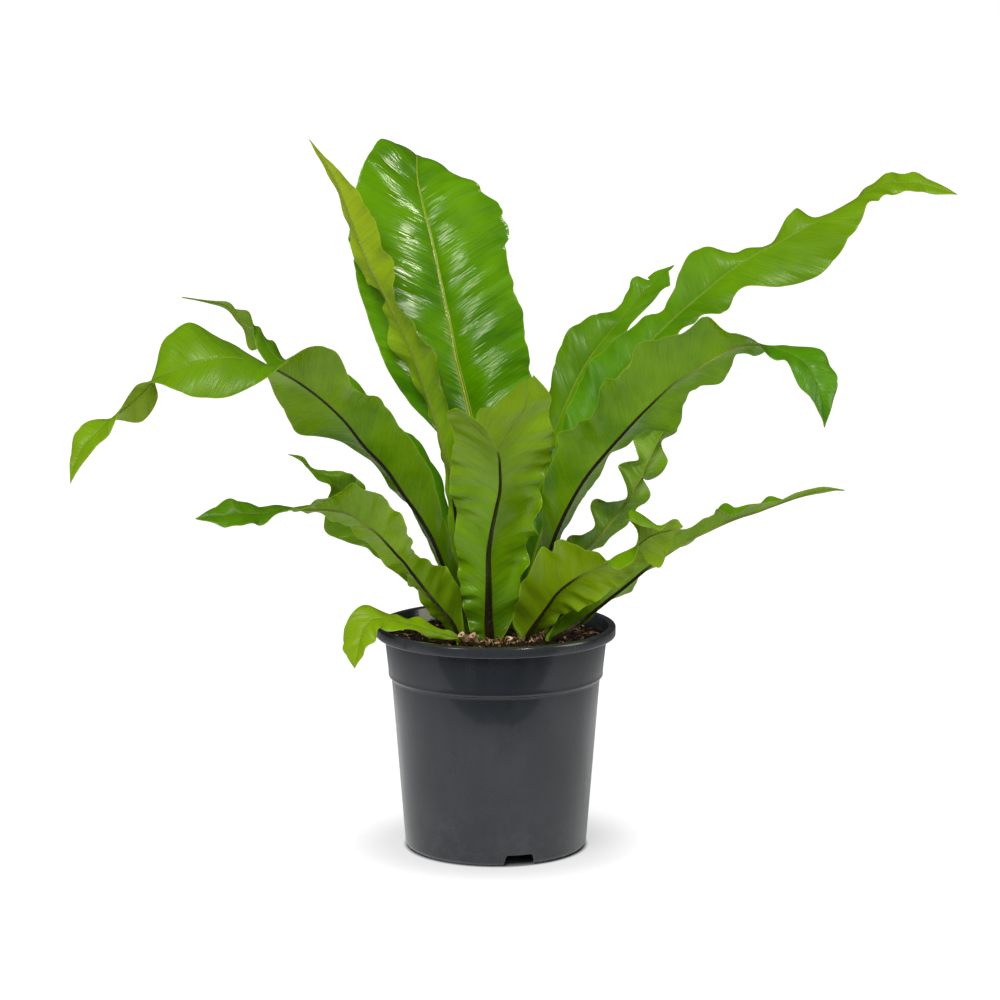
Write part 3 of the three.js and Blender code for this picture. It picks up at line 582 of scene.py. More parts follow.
# The front frond stands before the others and shows its underside, whose dark midrib forks below
# a blunt, frayed end. Like every frond it is one grown leaf that stands in the crown: a thin blade
# through rows measured along its midrib, waved at its margins and swollen between its side folds.
BLADE_THICKNESS = 0.6
SECTION_STEP = 1.7
STALK_FOOT = 140
STALK_LENGTH = 14
RIB_SPOTS = (0.0, 0.55, 1.0, 1.5)
SHARES = (0.07, 0.14, 0.22, 0.3, 0.38, 0.46, 0.54, 0.62, 0.7, 0.77, 0.84, 0.9, 0.95, 0.98, 1.0)
NARROWEST = 0.4
CALM_BELOW = 14
BULGE = 0.06
SCALLOP = 1.1
ROLL_START = 0.55
ROLL_GROWTH = 0.4
VEIN_SLANT = 0.6
VEIN_SPACING = 1.5
END_REACH = 20
FORK_REACH = 4
RIB_GONE = 9
BRANCH_RADIUS = 0.55
DARK_FADE = 0.12
YOUNG_FROM = 0.35
DARK_RIB = (34, 24, 15)
PALE_MARGIN = (150, 172, 50)


def through(rows, at):
    """A smooth line through rows of numbers, at places counted in rows."""
    rows = np.concatenate([[2 * rows[0] - rows[1]], rows, [2 * rows[-1] - rows[-2]]])
    i = np.minimum(at.astype(int), len(rows) - 4)
    w = (at - i)[:, None]
    a, b, c, d = rows[i], rows[i + 1], rows[i + 2], rows[i + 3]
    return 0.5 * (2 * b + (c - a) * w + (2 * a - 5 * b + 4 * c - d) * w**2 + (3 * b - a - 3 * c + d) * w**3)


def uneven(draw, places, step):
    """A smooth random curve between -1 and 1 over places in millimetres, with a turn every step."""
    knots = np.array([[draw.uniform(-1, 1)] for _ in range(int(places.max() / step) + 8)])
    return through(knots, np.clip(places / step + 3, 0, None).ravel())[:, 0].reshape(places.shape)


def waving(draw, places, length):
    """A wave over places in millimetres, whose turns differ in length and height."""
    height = 0.72 + 0.28 * uneven(draw, places, length * 1.3)
    return height * np.sin(2 * math.pi * (places / length + 0.25 * uneven(draw, places, length)))


def hump(values):
    """A smooth hump: 1 where a value is nought, falling to nought at 1 and at -1."""
    return 0.5 + 0.5 * np.cos(math.pi * np.clip(values, -1, 1))


def facing(grid):
    """The upper face's direction at each point of a grid of sections."""
    return unit(np.cross(np.gradient(grid, axis=0), np.gradient(grid, axis=1)))


def half_blade(draw, side, half, middle, run, own_rib, ruffle, folds, frill, trims, rolls):
    """The points of one half of a blade, from the midrib out, with how far out each one lies and how
    far inside the edge."""
    bend = np.zeros_like(run)
    for roll_side, place, reach, angle in rolls:
        if roll_side == side:
            bend += angle * hump((run - place) / reach)
    half = half * (1 + ROLL_GROWTH * bend / math.pi)
    for trim_side, place, reach, depth in trims:
        if trim_side == side:
            half = half - unit(half) * (depth * hump((run - place) / reach))
    width = np.maximum(np.linalg.norm(half, axis=1, keepdims=True), NARROWEST)
    near = own_rib * np.array(RIB_SPOTS)
    spots = np.concatenate([near, near[:, -1:] + (width - near[:, -1:]) * np.array(SHARES)], 1)
    share = spots / width
    upper = unit(np.cross(np.gradient(middle, axis=0), half * side))
    vein = run - VEIN_SLANT * spots
    calm = np.minimum(1, width / CALM_BELOW)

    # How far each point lies above the plain blade: bulge, ruffle, swellings and small pleats
    spacing, fold_height = folds
    shift = 0.35 * uneven(draw, vein, spacing * 1.4)
    swell = np.abs(np.sin(math.pi * (vein / spacing + shift))) ** 0.8 - 0.6
    lift = BULGE * width * 4 * share * (1 - share)
    lift += ruffle[1] * calm * share**1.8 * waving(draw, vein, ruffle[0])
    lift += fold_height * calm * swell * np.minimum(1, share / 0.3)
    pleat, pleat_height, towards_edge = frill
    gathered = np.clip(0.55 + 1.1 * uneven(draw, vein, 2.2 * pleat), 0, 1) * (1.3 - run / run[-1])
    pleats = waving(draw, run - 0.15 * spots, pleat)
    lift += pleat_height * gathered * calm * share**towards_edge * pleats

    # The outer part of the blade follows an arc where the edge curls over
    turn = bend * np.clip((share - ROLL_START) / (1 - ROLL_START), 0, 1)
    loop = (1 - ROLL_START) * width / np.maximum(bend, 0.01)
    rolled = (share > ROLL_START) & (turn > 0.01)
    lift = lift - rolled * loop * (1 - np.cos(turn))
    out = np.where(rolled, ROLL_START * width + loop * np.sin(turn), spots)
    reach = (out + SCALLOP * calm * swell * share**3) / width
    points = middle[:, None] + half[:, None] * reach[..., None] + upper[:, None] * lift[..., None]
    return points, spots, width - spots


def branches(under, signed, first, ends):
    """The two thin ribs that a midrib parts into, laid on the underside from one section to the end."""
    parts = []
    for reach in ends:
        path = []
        for i in range(first, len(under)):
            spot = reach * ((i - first) / (len(under) - 1 - first)) ** 1.5
            path.append([np.interp(spot, signed[i], under[i, :, axis]) for axis in range(3)])
        parts.append(thread(path[::3], BRANCH_RADIUS))
    return heaped(parts)


def leaf_skin(sections, wide):
    """The faces of a leaf whose upper grid of points comes before its lower one, closed round the
    edge, and the material of each: 0 above and at the edge, 1 below."""
    count = sections * wide
    faces, slots = [], []
    for i in range(sections - 1):
        for j in range(wide - 1):
            a, b = i * wide + j, (i + 1) * wide + j
            faces.append((a, b, b + 1, a + 1))
            faces.append((count + a, count + a + 1, count + b + 1, count + b))
            slots += [0, 1]
        for a, b in ((i * wide, (i + 1) * wide), ((i + 2) * wide - 1, (i + 1) * wide - 1)):
            faces.append((a, count + a, count + b, b))
            slots.append(0)
    for i, flip in ((0, False), (sections - 1, True)):
        for j in range(wide - 1):
            a = i * wide + j
            face = (a, a + 1, count + a + 1, count + a)
            faces.append(tuple(reversed(face)) if flip else face)
            slots.append(0)
    return faces, slots


def blade(name, rows, faces_of_leaf, seed, rib=1.5, dark=0.6, fresh_and_lit=(0.0, 0.25), ruffle=(32, 2.6),
          folds=(19, 0.55), frill=(9, 0.3, 5), fork=None, end=(), trims=(), rolls=()):
    """A frond. rows are the midrib's point, the left edge from it and the right edge from it, and a last row
    of three is the bare tip. rib is the midrib's half width at its base, dark how far along it stays dark,
    and young how fresh the green is at the base and at the tip, which also takes away from the painted shade
    near the crown and on some fronds is partly painted light. ruffle, folds and frill are the length and
    height of the margin's waves, of the swellings between the side folds and of the margin's small pleats,
    and frill's third number keeps the pleats to the edge. fork is where the midrib parts in two and how far
    across its branches end, and end how far the blunt end runs out at shares across. trims are bays in an
    edge and rolls are places where it curls over: side, place along, reach, and depth or angle."""
    draw = random.Random(seed)
    rows = np.array([[*row, 0, 0, 0, 0, 0, 0][:9] for row in rows], float)
    lengths = np.linalg.norm(np.diff(rows[:, :3], axis=0), axis=1)
    at = [0.0]
    for i, length in enumerate(lengths):
        pieces = max(1, math.ceil(length / SECTION_STEP))
        at += [i + k / pieces for k in range(1, pieces + 1)]
    line = through(rows, np.array(at))
    middle = line[:, :3]
    run = np.concatenate([[0], np.cumsum(np.linalg.norm(np.diff(middle, axis=0), axis=1))])[:, None]
    share_along = run / run[-1]
    narrowest = np.minimum(*[np.linalg.norm(line[:, k:k + 3], axis=1, keepdims=True) for k in (3, 6)])
    own_rib = np.minimum(rib * (1.03 - share_along) ** 1.2 + 0.15, np.maximum(narrowest, NARROWEST) / 3)
    waves = (middle, run, own_rib, ruffle, folds, frill, trims, rolls)
    left, left_spots, left_margin = half_blade(draw, -1, line[:, 3:6], *waves)
    right, right_spots, right_margin = half_blade(draw, 1, line[:, 6:9], *waves)
    grid = np.concatenate([left[:, :0:-1], right], 1)
    across = np.concatenate([-left_spots[:, :0:-1], right_spots], 1)
    margin = np.concatenate([left_margin[:, :0:-1], right_margin], 1)
    rib_place = np.abs(across) / own_rib
    if fork:
        rib_place += RIB_GONE * np.clip((run - fork[0]) / FORK_REACH, 0, 1)
    if end:
        share = across / np.where(across < 0, -across[:, :1], across[:, -1:])
        out = np.interp(share, [e[0] for e in end], [e[1] for e in end])
        pull = np.clip((run - run[-1] + END_REACH) / END_REACH, 0, 1) ** 1.5
        grid = grid + unit(middle[-1] - middle[-30]) * (pull * out)[..., None]

    # The upper and the lower face, with the midrib raised below, grooved above and run into a stalk
    normal = facing(grid)
    stalk = np.clip(1 - run / STALK_LENGTH, 0, 1)
    thin = BLADE_THICKNESS / 2 * np.clip(margin / 1.2 + 0.35, 0, 1)
    ridge = hump(rib_place)
    groove = np.exp(-((rib_place - 1.0) / 0.35) ** 2)
    height = 0.5 + 1.5 * (1 - share_along)
    top = grid + normal * (thin + 0.9 * stalk + 0.16 * height * ridge - 0.1 * height * groove)[..., None]
    low = grid - normal * (thin + 1.2 * stalk + height * ridge)[..., None]
    top, low = [np.concatenate([[face[0] * (1, 1, 0) + (0, 0, STALK_FOOT)], face]) for face in (top, low)]
    points = np.concatenate([top.reshape(-1, 3), low.reshape(-1, 3)])
    faces, slots = leaf_skin(*top.shape[:2])

    # What the leaf's material needs to know at each point
    flat = np.ones_like(across)
    kept = {"across": across, "along": flat * run, "rib": rib_place, "margin": margin,
            "length": flat * share_along,
            "dark": flat * np.clip((dark - share_along) / DARK_FADE + 0.5, 0, 1),
            "fresh_and_lit": flat * np.interp(share_along, (0, YOUNG_FROM, 1), (fresh_and_lit[0], fresh_and_lit[0], fresh_and_lit[1]))}
    kept = {label: np.tile(np.concatenate([values[:1], values]).ravel(), 2) for label, values in kept.items()}
    if fork:
        more, more_faces = branches(low[1:], across, int(np.argmax(run > fork[0])), fork[1:])
        faces += [tuple(len(points) + i for i in face) for face in more_faces]
        slots += [1] * len(more_faces)
        points = np.concatenate([points, more])
        filler = {"margin": 9.0, "length": 1.0, "fresh_and_lit": fresh_and_lit[1]}
        kept = {label: np.concatenate([values, np.full(len(more), filler.get(label, 0.0))])
                for label, values in kept.items()}
    thing = made(f"{name}_frond", points, faces, faces_of_leaf, crease=70)
    thing.data.polygons.foreach_set("material_index", slots)
    for label, values in kept.items():
        layer = thing.data.attributes.new(label, "FLOAT", "POINT")
        layer.data.foreach_set("value", values.astype(np.float32))
    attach(thing, "root")
    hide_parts(f"frond_{name}")


def vein_group():
    """Fine side veins that run from the midrib out and forwards, and broken streaks between them."""
    tree = bpy.data.node_groups.new("side_veins", "ShaderNodeTree")
    for name in ("Across", "Along", "Spacing", "Seed"):
        tree.interface.new_socket(name, in_out="INPUT", socket_type="NodeSocketFloat")
    for name in ("Veins", "Streaks", "Swells"):
        tree.interface.new_socket(name, in_out="OUTPUT", socket_type="NodeSocketFloat")
    given = node(tree, "NodeGroupInput")
    result = node(tree, "NodeGroupOutput")
    reach = sums(tree, "ABSOLUTE", given.outputs["Across"])
    side = sums(tree, "MULTIPLY", sums(tree, "SIGN", given.outputs["Across"]), 7.0)
    vein = sums(tree, "SUBTRACT", given.outputs["Along"], sums(tree, "MULTIPLY", reach, VEIN_SLANT))

    def streaked(reach_scale, vein_scale, detail, shift):
        """Noise drawn out along the veins."""
        spot = {0: sums(tree, "MULTIPLY", reach, reach_scale), 1: sums(tree, "MULTIPLY", vein, vein_scale),
                2: sums(tree, "ADD", sums(tree, "ADD", given.outputs["Seed"], side), shift)}
        return speckle(tree, node(tree, "ShaderNodeCombineXYZ", spot).outputs[0], 1.0, detail, 0.55)

    bent = sums(tree, "ADD", vein, sums(tree, "MULTIPLY", streaked(0.05, 0.06, 1, 0.0), 3.0))
    phase = sums(tree, "MULTIPLY", sums(tree, "DIVIDE", bent, given.outputs["Spacing"]), 2 * math.pi)
    lines = sums(tree, "MULTIPLY_ADD", sums(tree, "SINE", phase), 0.5, 0.5)
    for name, value in (("Veins", lines), ("Streaks", streaked(0.035, 0.42, 2, 3.0)),
                        ("Swells", streaked(0.025, 0.11, 2, 6.0))):
        tree.links.new(value, result.inputs[name])
    return tree


side_veins = vein_group()


def leaf_face(name, deep, bright, fresh, painted_shade_green, rib_tip, gloss, relief, seed, shine, grooved):
    """One face of a leaf. deep and bright are its greens, fresh the green of new growth, shaded the darker
    green painted in near the crown as painted shade, and rib_tip the midrib's colour where it isn't dark.
    gloss is its roughness, and a grooved midrib has two pale lines with a green groove between them."""
    material, tree, shader = finish(name, Specular_IOR_Level=shine)
    value = {label: node(tree, "ShaderNodeAttribute", attribute_name=label).outputs["Fac"]
             for label in ("across", "along", "rib", "margin", "length", "dark", "fresh_and_lit")}
    place = node(tree, "ShaderNodeTexCoord").outputs["Object"]
    lines = {"Across": value["across"], "Along": value["along"], "Spacing": VEIN_SPACING, "Seed": seed}
    veins = node(tree, "ShaderNodeGroup", lines, node_tree=side_veins).outputs
    cloud = speckle(tree, place, 24, 3, 0.55)
    base = blend(tree, rise(tree, cloud, 0.3, 0.7), deep, bright)
    base = blend(tree, rise(tree, veins["Swells"], 0.4, 0.7, 0.0, 0.45), base, bright)
    # The fresh green is mixed in by the young share: the green of new growth, and on some fronds partly
    # painted light that brightens a frond the light reaches less
    base = blend(tree, value["fresh_and_lit"], base, fresh)
    base = blend(tree, rise(tree, veins["Streaks"], 0.5, 0.8, 0.0, 0.35), base, deep)
    # Painted shade: the green is darkened towards the crown, deep among the fronds, and less so where the
    # young share is high
    painted_crown_shade = sums(tree, "SUBTRACT", rise(tree, value["length"], 0.02, 0.3, 0.75, 0.0), value["fresh_and_lit"])
    base = blend(tree, painted_crown_shade, base, painted_shade_green)
    base = blend(tree, rise(tree, value["margin"], 0.25, 0.9, 0.3, 0.0), base, tone(*PALE_MARGIN))
    rib_colour = rib_tip
    if grooved:
        rib_colour = blend(tree, rise(tree, value["rib"], 0.3, 0.5), rib_tip, deep)
        rib_colour = blend(tree, rise(tree, value["rib"], 0.65, 0.85), rib_colour, rib_tip)
    rib_colour = blend(tree, value["dark"], rib_colour, tone(*DARK_RIB))
    base = blend(tree, rise(tree, value["rib"], 0.9, 1.15, 1.0, 0.0), base, rib_colour)
    rough = rise(tree, veins["Streaks"], 0.3, 0.7, gloss - 0.04, gloss + 0.08)
    high = sums(tree, "MULTIPLY_ADD", veins["Veins"], 0.12, sums(tree, "MULTIPLY", veins["Streaks"], 1.8))
    high = sums(tree, "MULTIPLY_ADD", veins["Swells"], 2.2, high)
    dress(tree, shader, base, rough, high, relief, 0.0005)
    return material


# In each face the darker green near the crown, shaded, is painted shade
UNDERSIDE = {"fresh": tone(142, 162, 18), "painted_shade_green": tone(50, 84, 0), "rib_tip": tone(112, 128, 42),
             "relief": 0.45, "seed": 2.0, "grooved": False}
upper_leaf = leaf_face("leaf_upper", tone(49, 102, 0), tone(77, 129, 0), tone(127, 155, 10),
                       tone(41, 81, 0), tone(122, 146, 36), gloss=0.29, relief=0.38, seed=1.0,
                       shine=0.23, grooved=True)
under_leaf = leaf_face("leaf_under", tone(72, 116, 0), tone(104, 144, 2),
                       gloss=0.26, shine=0.23, **UNDERSIDE)
front_under = leaf_face("leaf_under_front", tone(68, 111, 0), tone(100, 140, 2),
                        gloss=0.19, shine=0.42, **UNDERSIDE)
glossy_leaf = leaf_face("leaf_upper_glossy", tone(54, 106, 0), tone(86, 138, 0), tone(138, 168, 14),
                        tone(40, 80, 0), tone(150, 160, 52), gloss=0.13, relief=0.55, seed=4.0,
                        shine=0.5, grooved=True)
green = [upper_leaf, under_leaf]
FRAYED_END = ((-1, 0), (-0.64, 5), (-0.36, 2.5), (-0.1, 0), (0.02, -1), (0.1, 5), (0.18, 3.5),
              (0.28, -2), (0.47, -1), (0.88, 1.5), (0.93, -1.8), (0.97, -1.0), (1, 0))
blade("front", [
    [-4, -22, 155, -9, 0, 0, 9, 0, 0], [-5, -25, 166, -14, 2, -3, 16, 2, -1],
    [-5, -28, 183, -18, 6, -3, 19, 6, -4], [-5, -31, 199, -21, 10, -3, 20, 10, -2],
    [-5, -35, 216, -22, 12, -3, 25, 13, -4], [-3, -39, 232, -25, 13, -2, 24, 13, -3],
    [0, -44, 248, -28, 13, -2, 20, 11, -3], [3, -49, 264, -34, 14, -2, 24, 14, -1],
    [3, -54, 278, -35, 14, -1, 31, 17, -3], [2, -58, 290, -31, 13, 2, 38, 18, -3],
    [-2, -63, 300, -27, 12, 2, 42, 18, 0], [-6, -67, 308, -25, 11, 3, 43, 16, 8],
    [-10, -71, 313, -22, 10, 5, 48, 15, 17], [-14, -74, 317, -19, 10, 4, 41, 12, 28],
], [glossy_leaf, front_under], seed=8, rib=2.9, dark=0.82, fresh_and_lit=(0.0, 0.35), ruffle=(34, 2.4),
    folds=(21, 0.5), frill=(12, 3.2, 2.0), fork=(144, -21, 50), end=FRAYED_END,
    trims=((1, 96, 24, -11),), rolls=((1, 96, 20, 3.4), (1, 50, 22, 3.0)))


# The fronds on the left of the plant are full-grown leaves, rooted in the crown by their stalks.
# The long one turns over twice on its way down to its tip, and the low one turns its upper face
# to the front near its end.
blade("left_long", [
    [-23, 0, 154, -3, 3, 0, 3, -3, 0], [-26, -3, 169, -5, 3, -1, 4, -3, 5],
    [-30, -7, 186, -6, 6, -1, 6, -6, 10], [-36, -13, 203, -5, 8, 4, 6, -9, 14],
    [-43, -19, 222, -7, 10, 4, 8, -11, 15], [-52, -27, 240, -7, 12, 4, 12, -13, 17],
    [-64, -36, 259, -7, 13, 1, 19, -15, 20], [-76, -46, 279, -10, 14, 1, 20, -17, 19],
    [-90, -57, 296, -13, 15, -1, 22, -18, 21], [-103, -69, 315, -20, 16, -13, 23, -19, 19],
    [-117, -81, 331, -20, 16, -23, 22, -19, 11], [-130, -93, 343, -15, 16, -17, 23, -20, 25],
    [-141, -104, 352, -11, 16, -10, 18, -19, 21], [-153, -115, 360, -6, 16, -2, 7, -17, -2],
    [-167, -124, 365, -5, 17, 4, 5, -16, -17], [-182, -132, 367, -6, 18, 13, 2, -16, -25],
    [-197, -139, 364, -7, 18, 25, 0, -15, -20], [-212, -145, 359, -8, 16, 18, 0, -13, -10],
    [-224, -149, 355, -2, 14, 1, 1, -11, -1], [-232, -153, 347, 9, 14, -7, -3, -10, 6],
    [-241, -157, 339, 8, 13, -13, -1, -9, 3], [-250, -160, 332, 1, 11, -4, 2, -9, 1],
    [-259, -163, 324, -5, 9, 4, 6, -8, -4], [-269, -166, 313, -7, 7, 8, 7, -6, -1],
    [-276, -168, 299, -3, 4, 7, 4, -3, 1], [-279, -170, 288],
], green, seed=3, rib=1.35, fresh_and_lit=(0.0, 0.6), ruffle=(40, 1.3), folds=(23, 0.7), frill=(14, 0.3, 5))
blade("left_low", [
    [-25, -16, 154, -3, 3, 0, 3, -3, 0], [-31, -19, 166, -7, 3, -2, 7, -3, 7],
    [-38, -23, 175, -8, 6, -4, 13, -5, 15], [-46, -28, 186, -8, 8, -2, 14, -8, 18],
    [-55, -33, 199, -6, 9, -3, 14, -9, 12], [-64, -38, 212, -6, 10, -10, 9, -8, 5],
    [-73, -43, 223, -7, 10, -10, 16, -12, 7], [-81, -48, 233, -9, 11, -8, 19, -14, 8],
    [-89, -53, 240, -9, 11, -7, 19, -14, 15], [-99, -58, 248, -8, 11, -8, 19, -15, 17],
    [-108, -63, 252, -8, 11, -6, 10, -15, 21], [-119, -68, 254, -6, 11, -5, 9, -14, 11],
    [-130, -73, 255, -4, 11, -4, 5, -13, 6], [-142, -79, 256, -1, 11, -1, 2, -12, 1],
    [-158, -86, 254, 0, 9, 4, 1, -10, -4], [-169, -92, 255, -2, 8, 6, 1, -10, -7],
    [-181, -97, 255, -2, 7, 9, 1, -9, -6], [-192, -102, 254, -1, 4, 5, 1, -5, -3],
    [-203, -107, 254],
], green, seed=5, rib=0.9, dark=0.42, fresh_and_lit=(0.25, 0.1), ruffle=(28, 2.4), folds=(17, 1.6),
    frill=(14, 2.2, 2.2), trims=((1, 134, 4, 3.5), (1, 127, 4, -1.5), (1, 96, 5, 2.5), (1, 84, 4, 2.5)))
blade("left_back", [
    [-25, 14, 154, 3, 2, 0, -3, -2, 0], [-25, 16, 170, 3, 3, 3, -6, -3, 0],
    [-32, 20, 194, 6, 6, 1, -6, -5, -2], [-39, 24, 216, 11, 8, -1, -8, -7, -3],
    [-47, 28, 239, 14, 10, -5, -10, -8, -5], [-56, 32, 260, 15, 11, 1, -11, -9, -5],
    [-68, 36, 279, 13, 12, 4, -10, -10, -6], [-82, 40, 297, 13, 12, -4, -10, -10, -8],
    [-99, 44, 312, 12, 12, -2, -10, -10, -7], [-118, 48, 325, 11, 12, 6, -10, -10, -7],
    [-138, 52, 335, 6, 12, 4, -7, -10, -6], [-154, 55, 341, 3, 12, -1, -6, -10, -6],
    [-164, 58, 351, 4, 12, 2, -5, -10, -3], [-169, 60, 364, 0, 12, -15, -3, -10, -7],
    [-176, 62, 364, -1, 12, -17, 1, -10, 11], [-183, 64, 369, 0, 10, -7, 0, -8, 8],
    [-193, 66, 379, 1, 8, -5, 1, -6, 3], [-206, 68, 382, 0, 4, -2, -1, -3, 1],
    [-226, 70, 385],
], green, seed=4, rib=1.4, ruffle=(30, 1.4), folds=(19, 0.4), frill=(14, 0.2, 5))
# left_inner's fresh green, young (0.4, 0.3), is painted light that brightens a frond which the others shade
blade("left_inner", [
    [-32, 6, 153, 3, 2, 0, -3, -2, 0], [-37, 4, 170, 4, 3, 4, -4, -3, 0],
    [-50, 1, 188, 6, 5, 6, -8, -5, -1], [-65, -3, 206, 5, 7, 7, -12, -7, -1],
    [-78, -7, 219, 8, 8, 8, -13, -8, -2], [-89, -11, 233, 8, 8, 8, -16, -9, -10],
    [-98, -15, 244, 9, 8, 10, -19, -10, -15], [-104, -19, 254, 10, 8, 9, -16, -10, -11],
    [-109, -23, 261, 8, 7, 9, -7, -9, -7], [-114, -27, 267, 6, 6, 6, -2, -8, -2],
    [-121, -31, 272, 2, 5, 2, -4, -6, -1], [-129, -34, 278, 2, 4, -2, -2, -4, 0],
    [-135, -37, 284, 2, 2, 1, 0, -2, -1], [-144, -40, 288],
], green, seed=6, rib=1.2, fresh_and_lit=(0.4, 0.3), ruffle=(22, 2.0))


# The small frond that hangs over the rim is a young leaf, thinner and brighter than the others.
# It grows from the crown's edge and arches just clear of the pot's rim.
blade("over_rim", [
    [-26, -25, 154, 1, 3, 0, -1, -3, 0], [-34, -31, 158, 1, 3, 3, -3, -3, -2],
    [-44, -36, 162, 1, 6, 2, -5, -5, -3], [-54, -39, 166, -1, 8, 5, -4, -7, 0],
    [-65, -41, 169, -1, 9, 2, -1, -8, -4], [-76, -43, 172, 0, 10, 3, 0, -9, -6],
    [-85, -45, 172, -5, 10, 8, 4, -9, -5], [-91, -47, 166, -12, 9, 4, 8, -9, -5],
    [-94, -49, 157, -13, 8, 2, 6, -8, -1], [-96, -51, 148, -8, 5, -1, 3, -5, 0],
    [-98, -53, 139],
], green, seed=7, rib=0.8, dark=0.0, fresh_and_lit=(0.7, 0.8), ruffle=(19, 2.6), folds=(11, 0.8))


# The two upright fronds stand in the middle of the crown: the tall broad one, whose glossy upper
# face is turned to the front, and the slim yellower one beside it, torn half way down.
blade("tall", [
    [-7, 14, 155, 4, 0, 0, -4, 0, 0], [-9, 20, 199, 10, -2, -1, -10, -2, -1],
    [-11, 28, 230, 18, -5, 0, -13, -5, 0], [-13, 37, 261, 26, -8, 3, -15, -8, 0],
    [-16, 46, 288, 34, -10, 7, -25, -10, 1], [-21, 55, 312, 46, -11, 11, -41, -11, 1],
    [-28, 63, 339, 52, -12, 5, -52, -12, 1], [-33, 71, 364, 53, -12, 3, -56, -12, 1],
    [-38, 79, 387, 52, -12, 3, -59, -12, -1], [-43, 88, 410, 51, -12, 3, -59, -12, -1],
    [-48, 97, 431, 57, -11, 1, -57, -12, -5], [-53, 107, 448, 55, -10, 2, -50, -11, 2],
    [-57, 118, 466, 41, -9, -2, -40, -10, 8], [-58, 132, 481, 25, -7, -11, -26, -8, 13],
    [-60, 155, 478, 20, -3, -13, -16, -6, 2], [-60, 182, 461],
], [glossy_leaf, under_leaf], seed=1, rib=3.2, dark=0.0, fresh_and_lit=(0.0, 0.1), ruffle=(38, 2.4),
    folds=(25, 1.9), frill=(12, 0.7, 3),
    trims=((-1, 182, 9, 1.5), (-1, 208, 8, 1.5), (-1, 229, 8, -1.5), (-1, 245, 6, 1.6), (-1, 280, 5, 2),
           (-1, 301, 6, 2.6), (-1, 322, 9, 4), (1, 277, 7, 2.3), (1, 292, 6, -1.2)))
# The slim frond's yellow-green upper part, young (0.1, 1.0), is partly painted light shining through the thin
# leaf
blade("slim", [
    [-19, 8, 155, -3, -1, 0, 3, 1, 0], [-22, 10, 181, -5, 2, -1, 4, -2, 2],
    [-26, 14, 214, -6, 4, 0, 6, -4, 1], [-30, 18, 250, -5, 6, -1, 5, -6, 3],
    [-34, 21, 273, -4, 7, 2, 5, -8, 4], [-39, 24, 291, -3, 8, 0, 9, -9, 6],
    [-46, 28, 313, -4, 9, -1, 12, -10, 7], [-54, 32, 336, -8, 10, -1, 14, -12, 8],
    [-62, 36, 356, -13, 10, -3, 11, -12, 4], [-71, 40, 375, -7, 10, -1, 7, -12, 2],
    [-79, 44, 391, -6, 10, 1, 6, -12, 2], [-89, 48, 409, -7, 10, -6, 18, -12, 0],
    [-96, 52, 425, -7, 9, 0, 16, -11, -1], [-104, 55, 445, -4, 7, 1, 16, -9, 1],
    [-113, 58, 468, -4, 5, 1, 10, -6, 0], [-123, 60, 485, -3, 2, 0, 3, -2, 0],
    [-133, 62, 499],
], green, seed=2, rib=1.3, dark=0.3, fresh_and_lit=(0.1, 1.0), ruffle=(26, 2.0), folds=(13, 0.6),
    trims=((-1, 241, 6, 5), (-1, 255, 5, -2.5)), rolls=((1, 172, 24, 1.7),))


# The fronds on the right grow from the crown too: one that arches over, one that reaches far up
# and out, one behind it with a nick near its tip, and a curly one.
blade("right_arch", [
    [25, 0, 155, -3, -3, 0, 3, 3, 0], [28, -3, 169, -4, -3, 5, 5, 3, 4],
    [33, -9, 195, -6, -6, 8, 7, 6, 2], [39, -15, 219, -8, -8, 6, 7, 9, 2],
    [46, -21, 238, -13, -11, 11, 6, 11, -1], [54, -27, 255, -21, -13, 16, 6, 12, -6],
    [63, -33, 271, -21, -15, 17, 5, 13, -7], [74, -39, 286, -28, -16, 20, 4, 14, -5],
    [86, -45, 301, -23, -17, 15, 5, 15, -7], [98, -50, 315, -26, -18, 23, 8, 16, -14],
    [110, -55, 328, -26, -18, 19, 14, 16, -23], [122, -60, 340, -27, -18, 27, 8, 16, -16],
    [134, -64, 348, -23, -18, 26, 6, 15, -13], [145, -68, 356, -14, -17, 24, 9, 14, -17],
    [157, -71, 363, -14, -15, 26, 4, 13, -11], [167, -75, 368, -8, -13, 10, -1, 12, -9],
    [178, -79, 369, -1, -11, 2, -2, 11, -7], [187, -83, 368, 1, -11, -7, 1, 11, -2],
    [199, -88, 364, -2, -11, -6, 3, 11, 3], [209, -93, 358, -5, -11, -13, 12, 11, 8],
    [215, -98, 348, -5, -9, -12, 13, 10, 4], [219, -103, 335, -3, -6, -5, 11, 7, 6],
    [221, -108, 316],
], green, seed=9, rib=1.45, fresh_and_lit=(0.0, 0.0),
    trims=((-1, 142, 8, -4), (-1, 155, 6, 3), (-1, 178, 8, 2.4), (-1, 196, 9, -4), (-1, 213, 8, 4.2),
           (-1, 273, 7, 5), (-1, 290, 9, -5), (1, 158, 9, 3), (1, 190, 14, 2.4), (1, 215, 8, -2.4),
           (1, 229, 7, 4), (1, 273, 7, 3.3), (1, 292, 7, -5)))
